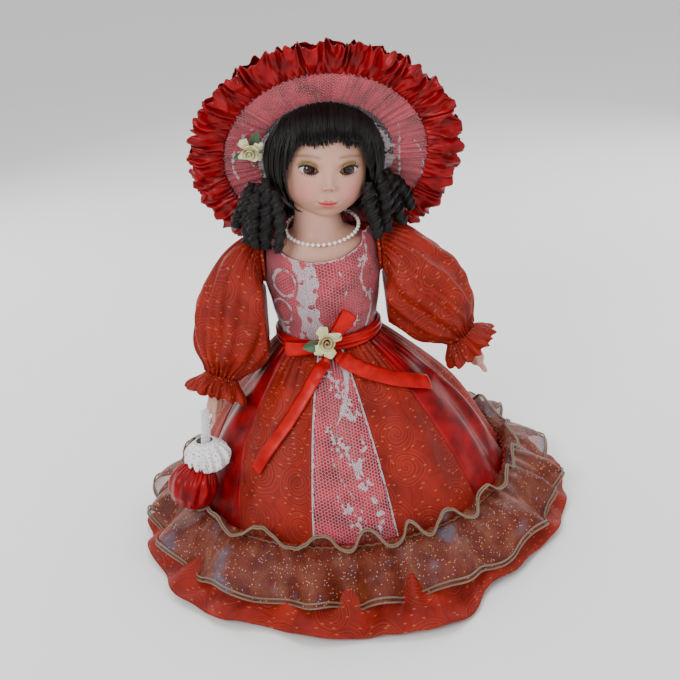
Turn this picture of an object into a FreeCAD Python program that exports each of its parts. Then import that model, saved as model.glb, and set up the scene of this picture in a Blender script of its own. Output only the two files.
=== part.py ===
import FreeCAD, Part

import math
import os

# Porcelain doll in a ball gown, with a hat, a purse and the wire stand that holds it up.
# Millimetres. +Z is up, the doll faces -Y and +X is the doll's own left.
# The origin is on the floor, under the middle of the stand's base.

V = FreeCAD.Vector
X_AXIS = V(1, 0, 0)
Y_AXIS = V(0, 1, 0)
Z_AXIS = V(0, 0, 1)
BIG = 600.0           # side of a cutting block, larger than the doll
GAP = 0.4             # least room between pieces that don't touch
ELLIPSE_POINTS = 12

# ---------------------------------------------------------------- stand
BASE_R = 62.0
BASE_H = 2.5
ROD_Y = 40.0          # the rod stands behind the legs
BOSS_R = 6.0
BOSS_TOP = 14.0
TUBE_R = 3.5
TUBE_BORE_R = 2.6
TUBE_TOP = 78.0
ROD_R = 2.25
ROD_BOTTOM = 24.0
ROD_TOP = 150.0
CLIP_Z = 143.0
CLIP_H = 7.0
CLIP_T = 1.6
CLIP_INNER = (34.0, 30.6)
CLIP_MOUTH = 30.0     # half the width of the clip's open front

# ---------------------------------------------------------------- body
# Level sections of the stuffed torso, the china shoulder plate and the bodice: height, half width, half depth
TORSO = [(124, 27, 20), (135, 32, 27), (148, 33.5, 30), (160, 34, 31), (175, 34.5, 31),
         (190, 36, 30), (204, 35, 25.5), (214, 34, 24.5), (220, 28, 20)]
PLATE = [(204, 38.5, 29), (214, 40.5, 30), (224, 41, 28.5), (232, 38, 25.5), (238, 30, 21.5),
         (244, 20, 18.5)]
NECK = [(239, 18.5), (270, 15.5)]     # height and radius at both ends
BODICE = [(158, 36.5, 34.5), (172, 37.5, 35), (190, 41, 36), (208, 44, 35), (222, 44, 32),
          (234, 40, 28), (241, 36, 24.5)]
CHINA_T = 2.5
BODICE_T = 1.2
LACE_T = 0.5
LACE_GAP = 0.3        # room between the lace and the satin under it
SHOULDER_Z = 222.0
ARMHOLE_R = 11.0
STUB_R = 9.0
NECKLINE_Z = 245.0    # middle of the scooped neckline's ellipse
NECKLINE_A = 34.0
NECKLINE_FRONT = 18.0
NECKLINE_BACK = 9.0

# ---------------------------------------------------------------- head, in its own upright frame
NECK_PIVOT = V(0, 0, 250)
HEAD_TILT = 7.0       # degrees towards the doll's left
HEAD_TURN = 4.0       # degrees towards the doll's left
HEAD_C = V(4, -1, 298)
HEAD_R = (31.0, 37.0, 44.0)
HAIR_C = V(4, 2, 296)
HAIR_R = (44.0, 45.5, 46.5)
PATE_Z = 22.0         # height of the crown's opening above the head's centre
PATE_LEAN = 22.0
EYE_R = 7.0
EYE_X = 14.3
EYE_Y = -25.4
EYE_Z = -1.5
LASH_Z = 4.0
LASH_DEPTH = 2.4
FACE_Y = -17.0        # the side hair ends and the fringe starts here
FRINGE_Z = 312.0
HAIR_BOTTOM = 262.0

# ---------------------------------------------------------------- hat, in its own frame
HAT_C = V(6, 9, 296)
HAT_LEAN = 25.0       # how far the brim's top leans forward of upright
CROWN_R = 51.5
CROWN_T = 1.6
BRIM_R = 80.0
BRIM_T = 1.5
NET_T = 0.7
RUFFLE_IN = 77.0
RUFFLE_OUT = 101.0
RUFFLE_T = 7.0

# ---------------------------------------------------------------- arms and sleeves
SHOULDER_X = 48.0
SLEEVE_X = 45.4       # the sleeve stays outside this plane, so that it clears the bodice as it turns
WRIST = {"left": V(106, -6, 140), "right": V(-87, -32, 138)}
ARM_R = 9.0
ELBOW = 50.0          # distances along the arm from the shoulder
CUFF_START = 92.0
CUFF_END = 109.0
CAP_R = 20.5
SLEEVE_T = 1.4
# Distance along the arm and radius of the puffed sleeve
PUFF = [(-4, 16), (10, 27), (34, 33.5), (62, 30), (82, 20), (CUFF_START, 12.5)]
CUFF_FLARE_R = 23.0
WRIST_R = 6.4

# ---------------------------------------------------------------- legs
HIP_X = 15.6
HIP_Z = 112.0
THIGH_R = 11.0
HIP_HALF = 9.5        # half the width of the hip bolster
KNEE_Z = 60.0
SHIN_TOP_R = 9.5
ANKLE_R = 6.2
ANKLE_Z = 18.0
SHOE_BOTTOM = 5.2
PANTS_R = 14.0
PANTS_T = 1.2

# ---------------------------------------------------------------- skirt, turned about its own upright axis
SKIRT_X = 3.0
# Radius and height of the three points that give a gore's outer arc
GORE_ARC = [(38.5, 157.0), (93.0, 98.0), (122.5, 42.0)]
GORE_T = 1.2
CENTRE_HALF = 15.0    # degrees from the front
FRONT_END = 48.0
SIDE_END = 80.0
FLOUNCE_ARC = [(123.5, 41.0), (149.0, 17.5), (176.5, 2.7)]
FLOUNCE_T = 2.0
FRILL_ARC = [(130.0, 40.5), (149.0, 30.0), (163.0, 15.5)]
HEADER_ARC = [(129.0, 41.6), (132.5, 45.5), (137.0, 48.5)]
FRILL_T = 1.0
PETTICOAT_ARC = [(48.0, 145.0), (86.0, 97.0), (111.0, 30.0)]
PETTICOAT_T = 1.0

# ---------------------------------------------------------------- trimmings
SASH_Z = (157.6, 167.0)
SASH_T = 1.4
BEAD_R = 1.5
BEAD_COUNT = 42
BEAD_RING = (3.0, -1.0, 27.4, 24.4)   # middle x and y, half width and half depth
BEAD_Z = (244.6, 6.5)                 # mean height, and how far the front hangs below it
BOW = V(-2, -43, 165)
HAT_ROSE = V(-50.5, -8, 305)


# ================================================================ helpers
def level_ellipse(z, a, b):
    """A smooth closed wire in a level plane, through evenly spaced points of an ellipse."""
    turns = [2 * math.pi * i / ELLIPSE_POINTS for i in range(ELLIPSE_POINTS)]
    curve = Part.BSplineCurve()
    curve.interpolate(Points=[V(a * math.cos(t), b * math.sin(t), z) for t in turns], PeriodicFlag=True)
    return Part.Wire(curve.toShape())


def stack(sections, grow=0.0, reach=0.0):
    """A solid through level ellipses, each grown by `grow`, its ends carried on by `reach`."""
    rows = [(z, a + grow, b + grow) for z, a, b in sections]
    if reach:
        rows = [(rows[0][0] - reach,) + rows[0][1:]] + rows[1:-1] + [(rows[-1][0] + reach,) + rows[-1][1:]]
    return Part.makeLoft([level_ellipse(*r) for r in rows], True)


def ellipsoid(centre, radii, grow=0.0):
    place = FreeCAD.Matrix()
    place.scale(radii[0] + grow, radii[1] + grow, radii[2] + grow)
    place.move(centre)
    return Part.makeSphere(1.0).transformGeometry(place)


def rod(start, end, r1, r2=None):
    """A straight round bar, tapered where r2 is given."""
    along = end - start
    if r2 is None or abs(r1 - r2) < 1e-6:
        return Part.makeCylinder(r1, along.Length, start, along)
    return Part.makeCone(r1, r2, along.Length, start, along)


def finger(start, end, r1, r2):
    """A tapered bar with round ends."""
    return rod(start, end, r1, r2).fuse([Part.makeSphere(r1, start), Part.makeSphere(r2, end)])


def oval_bar(a, b, z0, z1):
    """An upright bar of oval section."""
    return Part.Face(level_ellipse(z0, a, b)).extrude(V(0, 0, z1 - z0))


def block(x0, x1, y0, y1, z0, z1):
    return Part.makeBox(x1 - x0, y1 - y0, z1 - z0, V(x0, y0, z0))


def turned(profile, start=0.0, span=360.0, cx=0.0):
    """Turns a face in the XZ plane about an upright axis, from an azimuth measured from the front."""
    solid = profile.revolve(V(0, 0, 0), Z_AXIS, span)
    solid.rotate(V(0, 0, 0), Z_AXIS, start - 90.0)
    solid.translate(V(cx, 0, 0))
    return solid


def arc_band(points, thickness):
    """A face in the XZ plane: an arc through three (radius, height) points, thickened on its lower side."""
    (x1, z1), (x2, z2), (x3, z3) = points
    d = 2 * (x1 * (z2 - z3) + x2 * (z3 - z1) + x3 * (z1 - z2))
    s1, s2, s3 = x1 * x1 + z1 * z1, x2 * x2 + z2 * z2, x3 * x3 + z3 * z3
    centre = V((s1 * (z2 - z3) + s2 * (z3 - z1) + s3 * (z1 - z2)) / d, 0,
               (s1 * (x3 - x2) + s2 * (x1 - x3) + s3 * (x2 - x1)) / d)
    outer = [V(x, 0, z) for x, z in points]
    radius = (outer[0] - centre).Length
    below = -1.0 if centre.z < z2 else 1.0
    scale = (radius + below * thickness) / radius
    inner = [centre + (p - centre) * scale for p in outer]
    edges = [Part.Arc(*outer).toShape(), Part.makeLine(outer[2], inner[2]),
             Part.Arc(inner[2], inner[1], inner[0]).toShape(), Part.makeLine(inner[0], outer[0])]
    return Part.Face(Part.Wire(edges))


def ribbon(points, normals, width, thickness):
    """A flat strip through the points, each section lying square to its normal."""
    sections = []
    for i, (p, n) in enumerate(zip(points, normals)):
        along = (points[min(i + 1, len(points) - 1)] - points[max(i - 1, 0)]).normalize()
        side = along.cross(n).normalize() * (width / 2)
        out = side.cross(along).normalize() * thickness
        sections.append(Part.makePolygon([p - side, p + side, p + side + out, p - side + out, p - side]))
    return Part.makeLoft(sections, True)


def head_pose(shape):
    """Carries a shape from the head's upright frame to the tilted head."""
    shape.rotate(NECK_PIVOT, Z_AXIS, HEAD_TURN)
    shape.rotate(NECK_PIVOT, Y_AXIS, HEAD_TILT)
    return shape


def hat_pose(shape):
    """Carries a shape from the hat's frame, its crown along +Z, onto the head."""
    shape.rotate(V(0, 0, 0), X_AXIS, -(90.0 - HAT_LEAN))
    shape.translate(HAT_C)
    return head_pose(shape)


def solid_of(shape):
    """The one solid that a boolean leaves, cleaned of split faces."""
    return max(shape.removeSplitter().Solids, key=lambda s: s.Volume)


# ================================================================ stand
def stand_base():
    disc = Part.makeCylinder(BASE_R, BASE_H)
    rim = max((e for e in disc.Edges if e.BoundBox.ZMin > BASE_H - 0.1), key=lambda e: e.Length)
    disc = disc.makeFillet(1.0, [rim])
    boss = Part.makeCone(BOSS_R + 3, BOSS_R, BOSS_TOP - BASE_H, V(0, ROD_Y, BASE_H))
    return solid_of(disc.fuse(boss).cut(Part.makeCylinder(TUBE_R, BIG, V(0, ROD_Y, BASE_H))))


def stand_tube():
    outer = Part.makeCylinder(TUBE_R, TUBE_TOP - BASE_H, V(0, ROD_Y, BASE_H))
    return outer.cut(Part.makeCylinder(TUBE_BORE_R, BIG, V(0, ROD_Y, BASE_H + 4)))


def stand_rod():
    return Part.makeCylinder(ROD_R, ROD_TOP - ROD_BOTTOM, V(0, ROD_Y, ROD_BOTTOM))


def waist_clip():
    """An open spring band round the hips, with a clamp block that grips the rod's top."""
    a, b = CLIP_INNER
    band = oval_bar(a + CLIP_T, b + CLIP_T, CLIP_Z, CLIP_Z + CLIP_H)
    band = band.cut(oval_bar(a, b, CLIP_Z - 1, CLIP_Z + CLIP_H + 1))
    band = band.cut(block(-CLIP_MOUTH, CLIP_MOUTH, -BIG, 0, 0, BIG))
    clamp = block(-4, 4, b + 1, ROD_Y + 4, CLIP_Z, CLIP_Z + CLIP_H)
    return solid_of(band.fuse(clamp).cut(Part.makeCylinder(ROD_R, BIG, V(0, ROD_Y, 0))))


# ================================================================ body
def torso():
    return stack(TORSO)


def head_outer(grow=0.0):
    return head_pose(ellipsoid(HEAD_C, HEAD_R, grow))


def crown_block():
    """Everything above the slanted opening in the back of the head."""
    cut = block(-BIG / 2, BIG / 2, -BIG / 2, BIG / 2, 0, BIG)
    cut.rotate(V(0, 0, 0), X_AXIS, -PATE_LEAN)
    cut.translate(HEAD_C + V(0, 0, PATE_Z))
    return head_pose(cut)


def eye_centre(side):
    return HEAD_C + V(side * EYE_X, EYE_Y, EYE_Z)


def neck(grow):
    (z0, r0), (z1, r1) = NECK
    return Part.makeCone(r0 + grow, r1 + grow, z1 - z0, V(0, 0, z0))


def shoulder_head():
    """Head, neck and shoulder plate in one hollow china casting, open at the crown and the eyes."""
    outer = head_outer().fuse(neck(0)).fuse(stack(PLATE))
    plate_room = stack([PLATE[0]] + [(z - CHINA_T, a, b) for z, a, b in PLATE[1:]], -CHINA_T, reach=1)
    shell = outer.cut(head_outer(-CHINA_T)).cut(neck(-CHINA_T)).cut(plate_room).cut(crown_block())
    for side in (-1, 1):
        shell = shell.cut(head_pose(Part.makeSphere(EYE_R + 0.15, eye_centre(side))))
    shell = shell.cut(Part.makeCylinder(ARMHOLE_R + 1, BIG, V(-BIG / 2, 0, SHOULDER_Z), X_AXIS))
    return solid_of(shell.common(block(-BIG, BIG, -BIG, BIG, PLATE[0][0] + 0.01, BIG)))


def pate():
    """The dome that closes the crown under the wig."""
    dome = head_outer().cut(head_outer(-CHINA_T)).common(crown_block())
    return solid_of(dome)


def eyes():
    return Part.makeCompound([head_pose(Part.makeSphere(EYE_R, eye_centre(s))) for s in (-1, 1)])


def lash_point(side, across):
    """A point just in front of the brow line, `across` from the middle of an eye."""
    x, z = side * EYE_X + across, EYE_Z + LASH_Z
    a, b, c = HEAD_R
    depth = b * math.sqrt(1 - (x / a) ** 2 - (z / c) ** 2)
    return HEAD_C + V(x, -depth - 0.8 - LASH_DEPTH / 2, z)


def eyelashes():
    """A thin curved strip above each eye."""
    strips = []
    for side in (-1, 1):
        points = [lash_point(side, across) for across in (-6, -3, 0, 3, 6)]
        strips.append(head_pose(ribbon(points, [Z_AXIS] * 5, LASH_DEPTH, 0.5)))
    return Part.makeCompound(strips)


# ================================================================ wig
def hair_shell():
    hair = ellipsoid(HAIR_C, HAIR_R).cut(ellipsoid(HEAD_C, HEAD_R, GAP))
    hair = hair.cut(Part.makeCylinder(19, 60, V(0, 0, 220)))
    return hair.common(block(-BIG, BIG, -BIG, BIG, HAIR_BOTTOM, BIG))


def hair_crown():
    return head_pose(solid_of(hair_shell().common(block(-BIG, BIG, FACE_Y, BIG, 0, BIG))))


def hair_fringe():
    front = hair_shell().common(block(-BIG, BIG, -BIG, FACE_Y, FRINGE_Z, BIG))
    return head_pose(solid_of(front))


def ringlets(side):
    """Hanging curls: the right ones fall in front of the shoulder, the left ones mostly behind it."""
    tops = {"right": [(-40, -14, 276), (-43, 2, 274), (-32, -22, 268), (-49, -10, 262)],
            "left": [(47, -12, 276), (50, 3, 272), (43, -21, 266), (55, 14, 262)]}[side]
    ends = {"right": [(-44, -30, 247), (-57, -14, 250), (-30, -36, 246), (-62, -31, 247)],
            "left": [(50, -24, 247), (60, -9, 250), (40, -31, 247), (66, 27, 244)]}[side]
    curls = [finger(V(*a), V(*b), 6.5, 5.0) for a, b in zip(tops, ends)]
    mass = curls[0].fuse(curls[1:])
    return solid_of(mass.cut(head_pose(ellipsoid(HAIR_C, HAIR_R, 0.05))))


def back_hair():
    """The fall of hair between the necklace and the hat's brim."""
    fall = hat_pose(block(-34, 34, 38, 72, -13.5, -(RUFFLE_T / 2 + GAP + 0.6)))
    fall = fall.cut(head_pose(ellipsoid(HAIR_C, HAIR_R, 0.05))).cut(head_outer(GAP))
    cx, cy, a, b = BEAD_RING
    room = oval_bar(a + BEAD_R + 1, b + BEAD_R + 1, 200, 255)
    room.translate(V(cx, cy, 0))
    widest = max(BODICE, key=lambda row: row[1])
    return solid_of(fall.cut(room).cut(oval_bar(widest[1] + 1, widest[2] + 5, 200, BODICE[-1][0] + 2)))


# ================================================================ necklace
def bead_point(i):
    turn = 2 * math.pi * i / BEAD_COUNT
    cx, cy, a, b = BEAD_RING
    mean, drop = BEAD_Z
    return V(cx + a * math.sin(turn), cy - b * math.cos(turn), mean - drop * math.cos(turn))


def pearl_beads():
    return Part.makeCompound([Part.makeSphere(BEAD_R, bead_point(i)) for i in range(BEAD_COUNT)])


def necklace_thread():
    """The lengths of thread that show between the beads."""
    lengths = []
    for i in range(BEAD_COUNT):
        start, end = bead_point(i), bead_point(i + 1)
        inset = (end - start).normalize() * BEAD_R
        lengths.append(rod(start + inset, end - inset, 0.25))
    return Part.makeCompound(lengths)


# ================================================================ bodice
def neckline(depth):
    """A bar along +Y whose section is the scoop's oval."""
    oval = Part.Ellipse(V(NECKLINE_A, 0, NECKLINE_Z), V(0, 0, NECKLINE_Z + depth), V(0, 0, NECKLINE_Z))
    return Part.Face(Part.Wire(oval.toShape())).extrude(V(0, BIG, 0))


def bodice_layer(inside, outside, front):
    """One half of a layer of the bodice, between two offsets from its outer surface."""
    shell = stack(BODICE, outside).cut(stack(BODICE, inside, reach=1))
    shell = shell.cut(Part.makeCylinder(ARMHOLE_R, BIG, V(-BIG / 2, 0, SHOULDER_Z), X_AXIS))
    if front:
        cutter = neckline(NECKLINE_FRONT)
        cutter.translate(V(0, -BIG, 0))
        return solid_of(shell.common(block(-BIG, BIG, -BIG, 0, 0, BIG)).cut(cutter))
    return solid_of(shell.common(block(-BIG, BIG, 0, BIG, 0, BIG)).cut(neckline(NECKLINE_BACK)))


def bodice_front():
    return bodice_layer(-BODICE_T, 0, True)


def bodice_back():
    return bodice_layer(-BODICE_T, 0, False)


def bodice_lace():
    return bodice_layer(LACE_GAP, LACE_GAP + LACE_T, True)


# ================================================================ arms
def along_arm(side, distance):
    start = V(SHOULDER_X if side == "left" else -SHOULDER_X, 0, SHOULDER_Z)
    return start + (WRIST[side] - start).normalize() * distance


def arm_frame(shape, side):
    """Carries a shape turned about +Z so that +Z runs down the arm from the shoulder."""
    start = along_arm(side, 0)
    down = (along_arm(side, 1) - start).normalize()
    shape.Placement = FreeCAD.Placement(start, FreeCAD.Rotation(Z_AXIS, down))
    return shape


def outside_bodice(shape, side):
    """Leaves what is on the arm's side of the sleeve's inner plane."""
    if side == "left":
        return shape.common(block(SLEEVE_X, BIG, -BIG, BIG, -BIG, BIG))
    return shape.common(block(-BIG, -SLEEVE_X, -BIG, BIG, -BIG, BIG))


def puff(grow, side, reach=0.0):
    points = [V(r + grow, 0, s) for s, r in PUFF]
    points[-1].z += reach
    curve = Part.BSplineCurve()
    curve.interpolate(points)
    edges = [curve.toShape(), Part.makeLine(points[-1], V(0, 0, points[-1].z)),
             Part.makeLine(V(0, 0, points[-1].z), V(0, 0, points[0].z)),
             Part.makeLine(V(0, 0, points[0].z), points[0])]
    return arm_frame(Part.Face(Part.Wire(edges)).revolve(V(0, 0, 0), Z_AXIS, 360), side)


def sleeve(side):
    sign = 1 if side == "left" else -1
    cap = V(sign * (SHOULDER_X + 7), 0, SHOULDER_Z)
    outer = puff(0, side).fuse(Part.makeSphere(CAP_R, cap))
    inner = puff(-SLEEVE_T, side, reach=0.5).fuse(Part.makeSphere(CAP_R - SLEEVE_T, cap))
    return solid_of(outside_bodice(outer.cut(inner), side))


def cuff(side):
    inner_r = PUFF[-1][1]
    outline = [V(inner_r, 0, CUFF_START), V(CUFF_FLARE_R, 0, CUFF_END), V(CUFF_FLARE_R - 1.4, 0, CUFF_END + 0.8),
               V(inner_r - 1.4, 0, CUFF_START), V(inner_r, 0, CUFF_START)]
    face = Part.Face(Part.makePolygon(outline))
    return arm_frame(face.revolve(V(0, 0, 0), Z_AXIS, 360), side)


def upper_arm(side):
    """Stuffed cloth arm, sewn to the torso through the armhole."""
    sign = 1 if side == "left" else -1
    joint = along_arm(side, 0)
    stub = rod(V(sign * 37.4, 0, SHOULDER_Z), joint, STUB_R)
    arm = rod(joint, along_arm(side, ELBOW), ARM_R - 2.4, ARM_R)
    return solid_of(stub.fuse([Part.makeSphere(ARM_R, joint), arm]))


def forearm(side):
    """China forearm and hand, with the groove that the cloth arm is tied into."""
    down = (along_arm(side, 1) - along_arm(side, 0)).normalize()
    across = down.cross(Y_AXIS).normalize()
    palm_side = across.cross(down).normalize()
    end = along_arm(side, CUFF_END - 5)
    arm = rod(along_arm(side, ELBOW), along_arm(side, ELBOW + 3), 9.0)
    arm = arm.fuse(rod(along_arm(side, ELBOW + 3), along_arm(side, ELBOW + 6), 7.8))
    arm = arm.fuse(rod(along_arm(side, ELBOW + 6), end, 9.0, WRIST_R))
    hang = (down + V(0, 0, -0.5)).normalize()
    palm_end = end + hang * 13
    parts = [Part.makeSphere(WRIST_R, end), finger(end + hang * 2, palm_end, 6.0, 6.2)]
    for k in range(4):
        root = palm_end + palm_side * (k - 1.5) * 3.1
        tip_reach = (11.0, 13.0, 12.5, 9.5)[k]
        bend = (hang + across * 0.12).normalize()
        parts.append(finger(root, root + bend * tip_reach, 2.3, 1.7))
    thumb = end + hang * 5 - palm_side * 5
    parts.append(finger(thumb, thumb + (hang - palm_side * 0.45).normalize() * 11, 2.5, 1.9))
    return solid_of(arm.fuse(parts))


# ================================================================ legs
def hip(side):
    return V(HIP_X if side == "left" else -HIP_X, 0, HIP_Z)


def thigh(side):
    """Stuffed thigh with a rounded top, the bolster that the hip seam turns on."""
    top = hip(side)
    bolster = Part.makeCylinder(THIGH_R - 0.4, 2 * HIP_HALF, top - X_AXIS * HIP_HALF, X_AXIS)
    return solid_of(bolster.fuse(rod(top, V(top.x, 0, KNEE_Z), THIGH_R)))


def lower_leg(side):
    x = hip(side).x
    shin = rod(V(x, 0, KNEE_Z), V(x, 0, ANKLE_Z), SHIN_TOP_R, ANKLE_R)
    foot = finger(V(x, 1, ANKLE_Z), V(x, -14, ANKLE_Z - 5), 6.0, 4.6)
    return solid_of(shin.fuse([Part.makeSphere(ANKLE_R, V(x, 0, ANKLE_Z)), foot]))


def shoe(side):
    """A strap shoe: an upper round the foot, on a flat sole with a low heel."""
    x = hip(side).x
    heel, toe = V(x, 1.5, ANKLE_Z - 4.5), V(x, -14.5, ANKLE_Z - 5.5)
    upper = finger(heel, toe, 7.4, 6.4).common(block(-BIG, BIG, -BIG, BIG, SHOE_BOTTOM + 1.6, ANKLE_Z - 1.5))
    sole = finger(V(heel.x, heel.y, 0), V(toe.x, toe.y, 0), 8.0, 7.0)
    sole = sole.common(block(-BIG, BIG, -BIG, BIG, -0.8, 0.8))
    sole.translate(V(0, 0, SHOE_BOTTOM + 0.8))
    return solid_of(upper.fuse(sole).cut(lower_leg(side)))


def pantaloon(side):
    x = hip(side).x
    face = arc_band([(PANTS_R - 1.5, HIP_Z - 14), (PANTS_R, 72.0), (PANTS_R - 1.0, 40.0)], PANTS_T)
    tube = face.revolve(V(0, 0, 0), Z_AXIS, 360)
    tube.translate(V(x, 0, 0))
    return tube


# ================================================================ skirt
def gore(start, end):
    return turned(arc_band(GORE_ARC, GORE_T), start, end - start, SKIRT_X)


def lace_panel():
    """The net over the centre gore, lifted off it by a small gap."""
    lift = LACE_GAP + LACE_T
    raised = [(r + lift, z + lift * share) for (r, z), share in zip(GORE_ARC, (0.7, 0.7, 0.4))]
    return turned(arc_band(raised, LACE_T), -CENTRE_HALF, 2 * CENTRE_HALF, SKIRT_X)


def gather_ring(arc, thickness):
    return turned(arc_band(arc, thickness), cx=SKIRT_X)


# ================================================================ sash, bow and roses
def sash():
    waist = [(SASH_Z[0], 37.6, 35.7), (SASH_Z[1], 38.2, 36.1)]
    return stack(waist, SASH_T).cut(stack(waist, reach=1))


def bow_loop(sign):
    """A flattened loop of ribbon that leaves the knot sideways."""
    reach, lift = (30.0, 2.0) if sign < 0 else (27.0, 22.0)
    tip = V(sign * reach, 4.0, lift)
    outer = ellipsoid(V(0, 0, 0), (tip.Length / 2, 4.0, 5.5))
    inner = ellipsoid(V(0, 0, 0), (tip.Length / 2 - 1.2, 2.8, 20.0))
    ring = outer.cut(inner)
    ring.rotate(V(0, 0, 0), Y_AXIS, -math.degrees(math.atan2(tip.z, tip.x)))
    ring.translate(BOW + tip * 0.56 + V(0, 1.0, 0))
    return ring


def skirt_point(azimuth, z, lift):
    """A point over the skirt's outer arc, and the outward normal there."""
    arc = arc_band(GORE_ARC, GORE_T).Edges[0].Curve
    centre = arc.Center
    radius = arc.Radius
    across = math.sqrt(radius * radius - (z - centre.z) ** 2)
    r = centre.x + across
    phi = math.radians(azimuth)
    slope = V(r - centre.x, 0, z - centre.z).normalize()
    out = V(math.sin(phi), -math.cos(phi), 0)
    normal = out * slope.x + Z_AXIS * slope.z
    return out * r + V(SKIRT_X, 0, z) + normal * lift, normal


def bow_tail(route, width):
    """A ribbon end that lies on the skirt along (azimuth, height) points."""
    pairs = [skirt_point(a, z, 1.8) for a, z in route]
    return ribbon([p for p, n in pairs], [n for p, n in pairs], width, 0.7)


def bow_tails():
    right = bow_tail([(-5, 152), (-16, 140), (-25, 125), (-34, 105), (-40, 84)], 11.0)
    left = bow_tail([(5, 152), (20, 144), (36, 136), (52, 128), (62, 118)], 13.0)
    return Part.makeCompound([right, left])


def rose(centre, facing, radius, leaf_turns):
    """A ribbon rose: a low bud of three stepped rings, with leaves beside it."""
    bud = Part.makeCone(radius, radius * 0.8, radius * 0.45)
    bud = bud.fuse(Part.makeCone(radius * 0.75, radius * 0.5, radius * 0.9))
    bud = bud.fuse(Part.makeSphere(radius * 0.45, V(0, 0, radius * 0.85)))
    leaves = []
    for turn in leaf_turns:
        leaf = ellipsoid(V(radius * 1.55, 0, 0.8), (radius * 0.75, radius * 0.42, 0.8))
        leaf.rotate(V(0, 0, 0), Z_AXIS, turn)
        leaves.append(leaf.cut(bud))
    group = Part.makeCompound([solid_of(bud)] + leaves)
    group.Placement = FreeCAD.Placement(centre, FreeCAD.Rotation(Z_AXIS, facing))
    return group


def waist_rose():
    return rose(BOW + V(0, -3.6, 3.0), V(0, -1, 0.15), 9.0, (25.0, 200.0))


# ================================================================ hat
def hat_part(outline):
    """Turns an outline of (radius, height) points about the hat's axis; the crown is on the +Z side."""
    points = [V(r, 0, h) for r, h in outline]
    return hat_pose(Part.Face(Part.makePolygon(points + [points[0]])).revolve(V(0, 0, 0), Z_AXIS, 360))


def hat_crown():
    dome = Part.makeSphere(CROWN_R).cut(Part.makeSphere(CROWN_R - CROWN_T))
    return hat_pose(solid_of(dome.common(block(-BIG, BIG, -BIG, BIG, BRIM_T, BIG))))


def hat_brim():
    return hat_part([(CROWN_R - CROWN_T, 0), (BRIM_R, 0), (BRIM_R, BRIM_T), (CROWN_R - CROWN_T, BRIM_T)])


def brim_net():
    return hat_part([(CROWN_R - CROWN_T, -NET_T), (RUFFLE_IN - GAP, -NET_T), (RUFFLE_IN - GAP, 0),
                     (CROWN_R - CROWN_T, 0)])


def hat_ruffle():
    """The gathered edge, wrapped over the brim's rim."""
    half = RUFFLE_T / 2
    return hat_part([(RUFFLE_IN, 0), (RUFFLE_IN + 4, -half), (RUFFLE_OUT, -half), (RUFFLE_OUT, half),
                     (RUFFLE_IN + 4, half), (RUFFLE_IN, BRIM_T), (BRIM_R, BRIM_T), (BRIM_R, 0)])


def hat_rose():
    group = rose(V(0, 0, 0), V(-0.1, -0.95, -0.3), 9.5, (110.0, 205.0))
    group.translate(HAT_ROSE)
    return head_pose(group)


# ================================================================ purse
STRAP_TOP = V(-99.5, -42, 122.5)
SWING_AXIS = V(-0.65, 0.76, 0)
ROLL_HALF = 3.0
PURSE_MOUTH = V(-102, -56, 94)
POUCH_C = V(-114, -63, 70)
POUCH_TOP = 22.0
# Radius and height along the pouch's own axis
POUCH = [(0, -18.5), (10, -16.5), (17, -8), (18, 1), (13.5, 11), (8, 18), (6.5, POUCH_TOP)]


def wrist_loop():
    """The handle's loop round the wrist, held inside the cuff."""
    face = Part.Face(Part.makePolygon([V(8.2, 0, 97), V(9.2, 0, 97), V(9.2, 0, 102), V(8.2, 0, 102), V(8.2, 0, 97)]))
    return arm_frame(face.revolve(V(0, 0, 0), Z_AXIS, 360), "right")


def purse_strap():
    """The handle's lower end, with the rolled hem that it swings on."""
    down = PURSE_MOUTH - STRAP_TOP
    points = [STRAP_TOP + down * t for t in (0.0, 0.5, 1.0)]
    strap = ribbon(points, [V(-0.4, -0.9, 0)] * 3, 6.0, 0.8)
    roll = Part.makeCylinder(1.2, 2 * ROLL_HALF, STRAP_TOP - SWING_AXIS * ROLL_HALF, SWING_AXIS)
    return solid_of(strap.fuse(roll))


def purse_pouch():
    """A gathered satin bag: round below, drawn in at its mouth."""
    curve = Part.BSplineCurve()
    curve.interpolate([V(r, 0, h) for r, h in POUCH])
    edges = [curve.toShape(), Part.makeLine(V(POUCH[-1][0], 0, POUCH_TOP), V(0, 0, POUCH_TOP)),
             Part.makeLine(V(0, 0, POUCH_TOP), V(0, 0, POUCH[0][1]))]
    bag = Part.Face(Part.Wire(edges)).revolve(V(0, 0, 0), Z_AXIS, 360)
    bag.Placement = FreeCAD.Placement(POUCH_C, FreeCAD.Rotation(Z_AXIS, PURSE_MOUTH - POUCH_C))
    return bag


def purse_lace():
    """The lace frill round the mouth of the purse."""
    outline = [V(8.5, 0, 4), V(9.5, 0, 5), V(15, 0, -4), V(14.6, 0, -6), V(8.5, 0, 4)]
    frill = Part.Face(Part.makePolygon(outline)).revolve(V(0, 0, 0), Z_AXIS, 360)
    frill.translate(PURSE_MOUTH)
    return frill


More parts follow.
